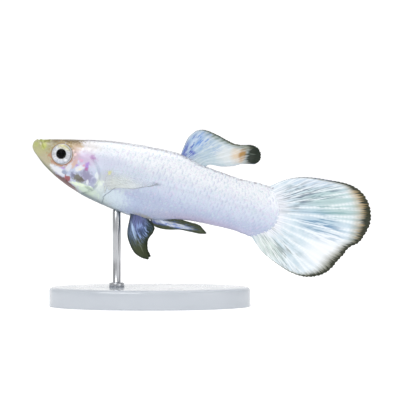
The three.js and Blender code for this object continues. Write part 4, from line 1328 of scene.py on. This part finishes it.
# %% Back fin's finish
back_fin_material = fin_material("Back fin", {
    "web": colour(196, 208, 214), "web_deep": colour(178, 196, 208), "ray": colour(226, 232, 238),
    "ray_share": 0.45, "ray_solid": 0.6, "clear": 0.92,
    "streaks": (44.0, 6.0), "uneven": 1.6,
    "spots": {
        "blue front": (19.0, 6.2, 2.2, 1.0, 70, 0.6, 0.85, 160, 186, 216),
        "teal rear": (21.6, 5.4, 1.8, 0.9, 5, 0.6, 0.6, 184, 204, 212),
        "pale middle": (23.4, 6.3, 1.5, 1.0, 10, 0.6, 0.8, 222, 226, 226),
        "beige patch": (24.6, 6.7, 0.8, 0.9, 0, 0.6, 0.8, 216, 192, 160),
        "orange patch": (25.1, 6.95, 0.42, 0.85, 0, 0.5, 0.9, 170, 126, 60),
        "green top": (22.6, 8.1, 3.0, 0.5, -4, 0.6, 0.85, 90, 110, 94),
    },
    "streaked": {
        "violet edge": (18.45, 5.6, 1.9, 0.6, 72, 0.5, 1.0, 66, 82, 172),
        "violet foot": (19.0, 4.9, 0.8, 0.6, 25, 0.5, 1.0, 74, 80, 178),
        "blue streaks": (19.8, 7.1, 1.3, 0.8, 50, 0.5, 0.95, 104, 142, 210),
        "pale blue streaks": (21.0, 6.2, 1.8, 1.2, 35, 0.6, 0.6, 140, 170, 210),
    },
    "over": {
        "violet front": (18.15, 5.1, 1.2, 0.16, 80, 0.6, 0.6, 76, 88, 176),
        "dark tip": (27.4, 7.2, 1.78, 1.75, 0, 0.17, 0.94, 34, 42, 34),
        "tip fleck": (26.2, 7.35, 0.4, 0.06, 12, 0.6, 0.5, 110, 122, 112),
    },
    "margin": colour(34, 44, 32), "halo": colour(120, 116, 88),
    "halo_spots": {"grey edge": (20.5, 8.0, 2.4, 0.8, 0, 0.5, 0.8, 112, 128, 122)},
    "side": 0.02, "side_tint": colour(96, 110, 124),
    "band": [(0.0, 0.014), (0.3, 0.026), (0.5, 0.036), (0.64, 0.05), (0.775, 0.1), (0.86, 0.12),
             (1.0, 0.12)],
})

# %% [markdown]
# The belly fins are dark olive, with violet at their foot, a pale streak behind it and blue between
# their rays. The anal fin has one pale streak along its length.

# %% Belly fins' finish
belly_fin_material = fin_material("Belly fins", {
    "web": colour(72, 84, 96), "web_deep": colour(54, 68, 76), "ray": colour(42, 52, 46),
    "ray_share": 0.5, "ray_solid": 0.5, "clear": 0.97,
    "streaks": (30.0, 4.0), "uneven": 1.2,
    "spots": {
        "violet foot": (15.4, -4.9, 0.9, 1.0, 0, 0.5, 0.75, 104, 108, 160),
        "pale streak": (15.3, -6.3, 1.15, 0.17, -56, 0.4, 0.95, 190, 214, 246),
        "blue middle": (16.1, -5.8, 0.6, 0.9, 0, 0.6, 0.6, 80, 96, 140),
        "dark rear": (17.2, -5.5, 0.5, 0.7, 0, 0.5, 0.8, 40, 54, 52),
        "olive tip": (16.9, -8.2, 1.7, 1.1, -35, 0.5, 0.9, 76, 82, 58),
    },
    "streaked": {
        "blue streaks": (16.0, -6.0, 1.6, 1.4, -60, 0.5, 0.8, 146, 168, 216),
    },
    "over": {
        "dark tip": (17.2, -8.4, 1.4, 0.8, -35, 0.5, 0.6, 66, 73, 48),
        "pale ray": (16.55, -7.6, 0.85, 0.06, -48, 0.5, 0.6, 118, 124, 106),
    },
    "margin": colour(34, 42, 28), "halo": colour(50, 60, 44),
    "side": 0.1, "side_tint": colour(36, 46, 34),
    "band": [(0.0, 0.06), (0.4, 0.08), (1.0, 0.1)],
})
anal_fin_material = fin_material("Anal fin", {
    "web": colour(88, 94, 74), "web_deep": colour(72, 80, 62), "ray": colour(62, 70, 52),
    "ray_share": 0.4, "ray_solid": 0.5, "clear": 0.98,
    "streaks": (14.0, 8.0), "uneven": 0.8,
    "spots": {
        "violet foot": (17.6, -4.2, 0.8, 0.35, 5, 0.5, 0.8, 112, 124, 196),
        "pale streak": (19.5, -4.0, 2.4, 0.26, 5, 0.3, 0.97, 224, 232, 248),
    },
    "streaked": {
        "blue streaks": (20.0, -3.95, 2.4, 0.45, 5, 0.5, 0.8, 110, 136, 206),
    },
    "margin": colour(44, 50, 34), "halo": colour(64, 72, 52),
    "side": 0.12, "side_tint": colour(50, 56, 38),
    "band": [(0.0, 0.04), (1.0, 0.05)],
})

# %% [markdown]
# The side fins are almost clear. Only their lower edge, which carries painted shade where the shoulder's
# fold runs onto it, and the tip are dark enough to see.

# %% Side fins' finish
side_fin_material = fin_material("Side fins", {
    "web": colour(226, 230, 226), "web_deep": colour(218, 224, 224), "ray": colour(236, 238, 238),
    "ray_share": 0.2, "ray_solid": 0.06, "clear": 0.42, "veil": 0.55,
    "streaks": (24.0, 3.0), "uneven": 0.6,
    "spots": {
        "gold root": (10.4, -0.3, 0.35, 0.4, 0, 0.5, 0.7, 214, 214, 150),
        "straw field": (11.4, -0.8, 1.5, 0.9, 0, 0.6, 0.6, 228, 232, 224),
        "grey tip": (15.7, 0.1, 1.0, 0.32, 20, 0.5, 0.8, 150, 160, 168),
    },
    "streaked": {
        "grey streaks": (13.0, -0.4, 2.4, 0.8, 5, 0.5, 0.3, 170, 180, 188),
    },
    # Painted shade from the shoulder's fold, running on along the fin's lower edge.
    "over": {"lower edge": (11.0, -2.3, 0.7, 0.07, 50, 0.5, 0.9, 118, 126, 140)},
    "margin": colour(146, 154, 164), "halo": colour(196, 202, 208),
    "side": 0.0, "side_tint": colour(150, 158, 166),
    "band": [(0.0, 0.03), (1.0, 0.05)],
})

# %% [markdown]
# ## Eyes
# The iris is silver, with fine folds that run outwards, a bright ring next to the pupil, a yellow
# tint at its upper edge and a bluish one below. The pupil and the lens are black, and the cornea is
# clear and glossy.

# %% Materials of the eyes
iris_material, tree, shader = new_material("Silver iris")
height = tree.group(place_group)["Z"]
span = tree.read("ShaderNodeAttribute", attribute_name="span")["Fac"]
_, around = tree.own_map("ring_map")
fold_place = tree.read("ShaderNodeCombineXYZ", {"X": around * 60.0, "Y": span * 1.5})["Vector"]
folds = tree.noise(fold_place, 1.0)
tint = tree.mix(tree.step(folds, 0.35, 0.65), colour(196, 198, 208), colour(238, 240, 244))
tint = tree.mix(tree.step(height, 0.5, 1.2) * 0.75, tint, colour(204, 196, 120))
tint = tree.mix(tree.step(height, -0.4, -1.1) * 0.5, tint, colour(158, 174, 206))
tint = tree.mix(tree.step(span, 1.16, 1.22), tint, colour(118, 104, 82))
tint = tree.mix(tree.step(span, 0.65, 0.61), tint, colour(2, 2, 3))
bump = tree.read("ShaderNodeBump", {"Strength": 0.3, "Distance": 0.00003, "Height": folds})
tree.fill(shader, {
    "Base Color": tint, "Normal": bump["Normal"], "Metallic": 0.2, "Roughness": 0.35, "Coat Weight": 0.1,
})

lens_material, tree, shader = new_material("Black lens")
haze = tree.noise(tree.group(place_group)["Place"], 2.0)
tree.fill(shader, {
    "Base Color": tree.mix(haze, colour(1, 1, 2), colour(5, 5, 8)),
    "Specular IOR Level": 0.06, "Roughness": 0.1,
})

cornea_material, tree, shader = new_material("Clear cornea")
tree.fill(shader, {
    "Base Color": (1, 1, 1, 1), "Roughness": 0.02, "Transmission Weight": 1.0, "IOR": 1.1,
})

# %% [markdown]
# ## The stand's finish
# The block is polished white acrylic, with faint marks from handling. The rod is satin steel,
# brushed along its length.

# %% Materials of the stand
acrylic_material, tree, shader = new_material("White acrylic")
smears = tree.noise(tree.read("ShaderNodeTexCoord")["Object"], 220.0, 3.0)
tree.fill(shader, {
    "Base Color": tree.mix(smears, colour(182, 188, 196), colour(196, 201, 208)),
    "Roughness": tree.step(smears, 0.3, 0.7, 0.12, 0.24), "Coat Weight": 0.3,
})

steel_material, tree, shader = new_material("Satin steel")
object_place = tree.read("ShaderNodeTexCoord")["Object"]
stretched = tree.read("ShaderNodeMapping", {"Vector": object_place, "Scale": (4000, 4000, 120)})
brush = tree.noise(stretched["Vector"], 1.0, 3.0)
tree.fill(shader, {
    "Base Color": tree.mix(brush, colour(176, 178, 182), colour(208, 210, 214)),
    "Roughness": tree.step(brush, 0.3, 0.7, 0.22, 0.38), "Metallic": 1.0,
})

# %% [markdown]
# ## Pieces, bodies and the solids they replace
# Every piece rides on the fish's one body. The skin stands for the flesh, and each fin, eye and
# stand piece stands for its own solid.

# %% Finish every piece, hang it on the body and hide the solids it replaces
DRESSED = [
    (skin, skin_material, "pearl_skin",
     ["head", "lower_jaw", "torso", "tail_stalk", "gill_cover_left", "gill_cover_right"]),
    (scales, scale_material, "pearl_skin", []),
    (caudal_fin, tail_material, "pale_fin", ["caudal_fin"]),
    (dorsal_fin, back_fin_material, "pale_fin", ["dorsal_fin"]),
    (anal_fin, anal_fin_material, "dark_fin", ["anal_fin"]),
    (pelvic_left, belly_fin_material, "dark_fin", ["pelvic_fin_left"]),
    (pelvic_right, belly_fin_material, "dark_fin", ["pelvic_fin_right"]),
    (pectoral_left, side_fin_material, "clear_fin", ["pectoral_fin_left"]),
    (pectoral_right, side_fin_material, "clear_fin", ["pectoral_fin_right"]),
    (base_block, acrylic_material, "acrylic", ["stand_base"]),
    (rod, steel_material, "steel", ["stand_rod"]),
]
for side_name, (eyeball, lens, cornea) in eyes.items():
    DRESSED.append((eyeball, iris_material, "silver", [f"eye_{side_name}"]))
    DRESSED.append((lens, lens_material, "silver", []))
    DRESSED.append((cornea, cornea_material, "silver", []))
for piece, finish, slot, nodes in DRESSED:
    piece.data.materials.append(finish)
    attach(piece, "root")
    if nodes:
        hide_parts(*nodes)
print("Pieces:", len(DRESSED))

# %% [markdown]
# ## Studio
# The photo's fish floats on white in soft, even light. The stage is a white floor that curves up
# into a backdrop behind the fish, with no line between them.

# %% Stage
STAGE_WIDTH, STAGE_FRONT, STAGE_BACK, STAGE_TOP, STAGE_CURVE = 1.6, -0.9, 0.35, 0.9, 0.2
bend = np.linspace(0, math.pi / 2, 24)
stage_line = np.concatenate([
    [[STAGE_FRONT, 0]],
    np.stack([STAGE_BACK + STAGE_CURVE * np.sin(bend), STAGE_CURVE * (1 - np.cos(bend))], -1),
    [[STAGE_BACK + STAGE_CURVE, STAGE_TOP]],
])
across = np.array([STAGE_WIDTH, -STAGE_WIDTH])[None, :] / 2
stage_points = np.stack([
    across + 0 * stage_line[:, :1], stage_line[:, :1] + 0 * across, stage_line[:, 1:] + 0 * across,
], axis=-1)
stage = make_piece("sweep", stage_points, grid_faces(len(stage_line), 2))
stage_material, tree, shader = new_material("White paper")
tree.fill(shader, {
    "Base Color": (0.85, 0.85, 0.85, 1), "Roughness": 0.9,
    "Emission Color": (1, 1, 1, 1), "Emission Strength": 0.35,
})
stage.data.materials.append(stage_material)

# %% [markdown]
# ## Light
# One large soft light hangs above and in front, a second fills from the other side, and the white
# surroundings do the rest. Small shadows keep the scales and rays readable.

# %% Lights
def soft_light(name, place, aim, size, power):
    """A square area light at a place in metres, turned towards its aim."""
    data = bpy.data.lights.new(name, "AREA")
    data.size = size
    data.energy = power
    lamp = bpy.data.objects.new(name, data)
    bpy.context.collection.objects.link(lamp)
    lamp.location = place
    direction = Vector(aim) - Vector(place)
    lamp.rotation_euler = direction.to_track_quat("-Z", "Y").to_euler()


CENTRE = (0.0, 0.0, 0.015)
soft_light("Key", (-0.16, -0.3, 0.34), CENTRE, 0.22, 0.8)
soft_light("Fill", (0.3, -0.3, 0.12), CENTRE, 0.3, 0.25)
soft_light("Top", (0.02, 0.05, 0.4), CENTRE, 0.3, 0.5)
world = bpy.data.worlds.new("White room")
world.use_nodes = True
background = world.node_tree.nodes["Background"]
Tree(world.node_tree).fill(background, {"Color": (1, 1, 1, 1), "Strength": 0.5})
bpy.context.scene.world = world
print("Lights: key, fill, top and the white room")

# %% [markdown]
# ## Camera
# The photo looks straight at the fish's left side. A long lens from a short way off keeps its
# outline true, and the camera looks down by 2 degrees, so the stand's top just shows.

# %% Camera
FISH_MIDDLE, AIM_HEIGHT = 20.757, 13.2
FRAME_CENTRE = ((SNOUT[0] + FISH_MIDDLE) * MM, 0.0, AIM_HEIGHT * MM)
FRAME_WIDTH = 0.0496
CAMERA_DISTANCE = 0.3
CAMERA_RISE = math.radians(2)
SENSOR = 36.0

camera_data = bpy.data.cameras.new("Camera")
camera_data.sensor_width = SENSOR
camera_data.lens = SENSOR * CAMERA_DISTANCE / FRAME_WIDTH
camera = bpy.data.objects.new("Camera", camera_data)
bpy.context.collection.objects.link(camera)
camera.location = (
    FRAME_CENTRE[0],
    FRAME_CENTRE[1] - CAMERA_DISTANCE * math.cos(CAMERA_RISE),
    FRAME_CENTRE[2] + CAMERA_DISTANCE * math.sin(CAMERA_RISE),
)
camera.rotation_euler = (math.pi / 2 - CAMERA_RISE, 0, 0)
camera_data.clip_start = 0.01
bpy.context.scene.camera = camera
bpy.context.scene.view_settings.view_transform = "Standard"
print("Camera lens:", round(camera_data.lens), "mm")
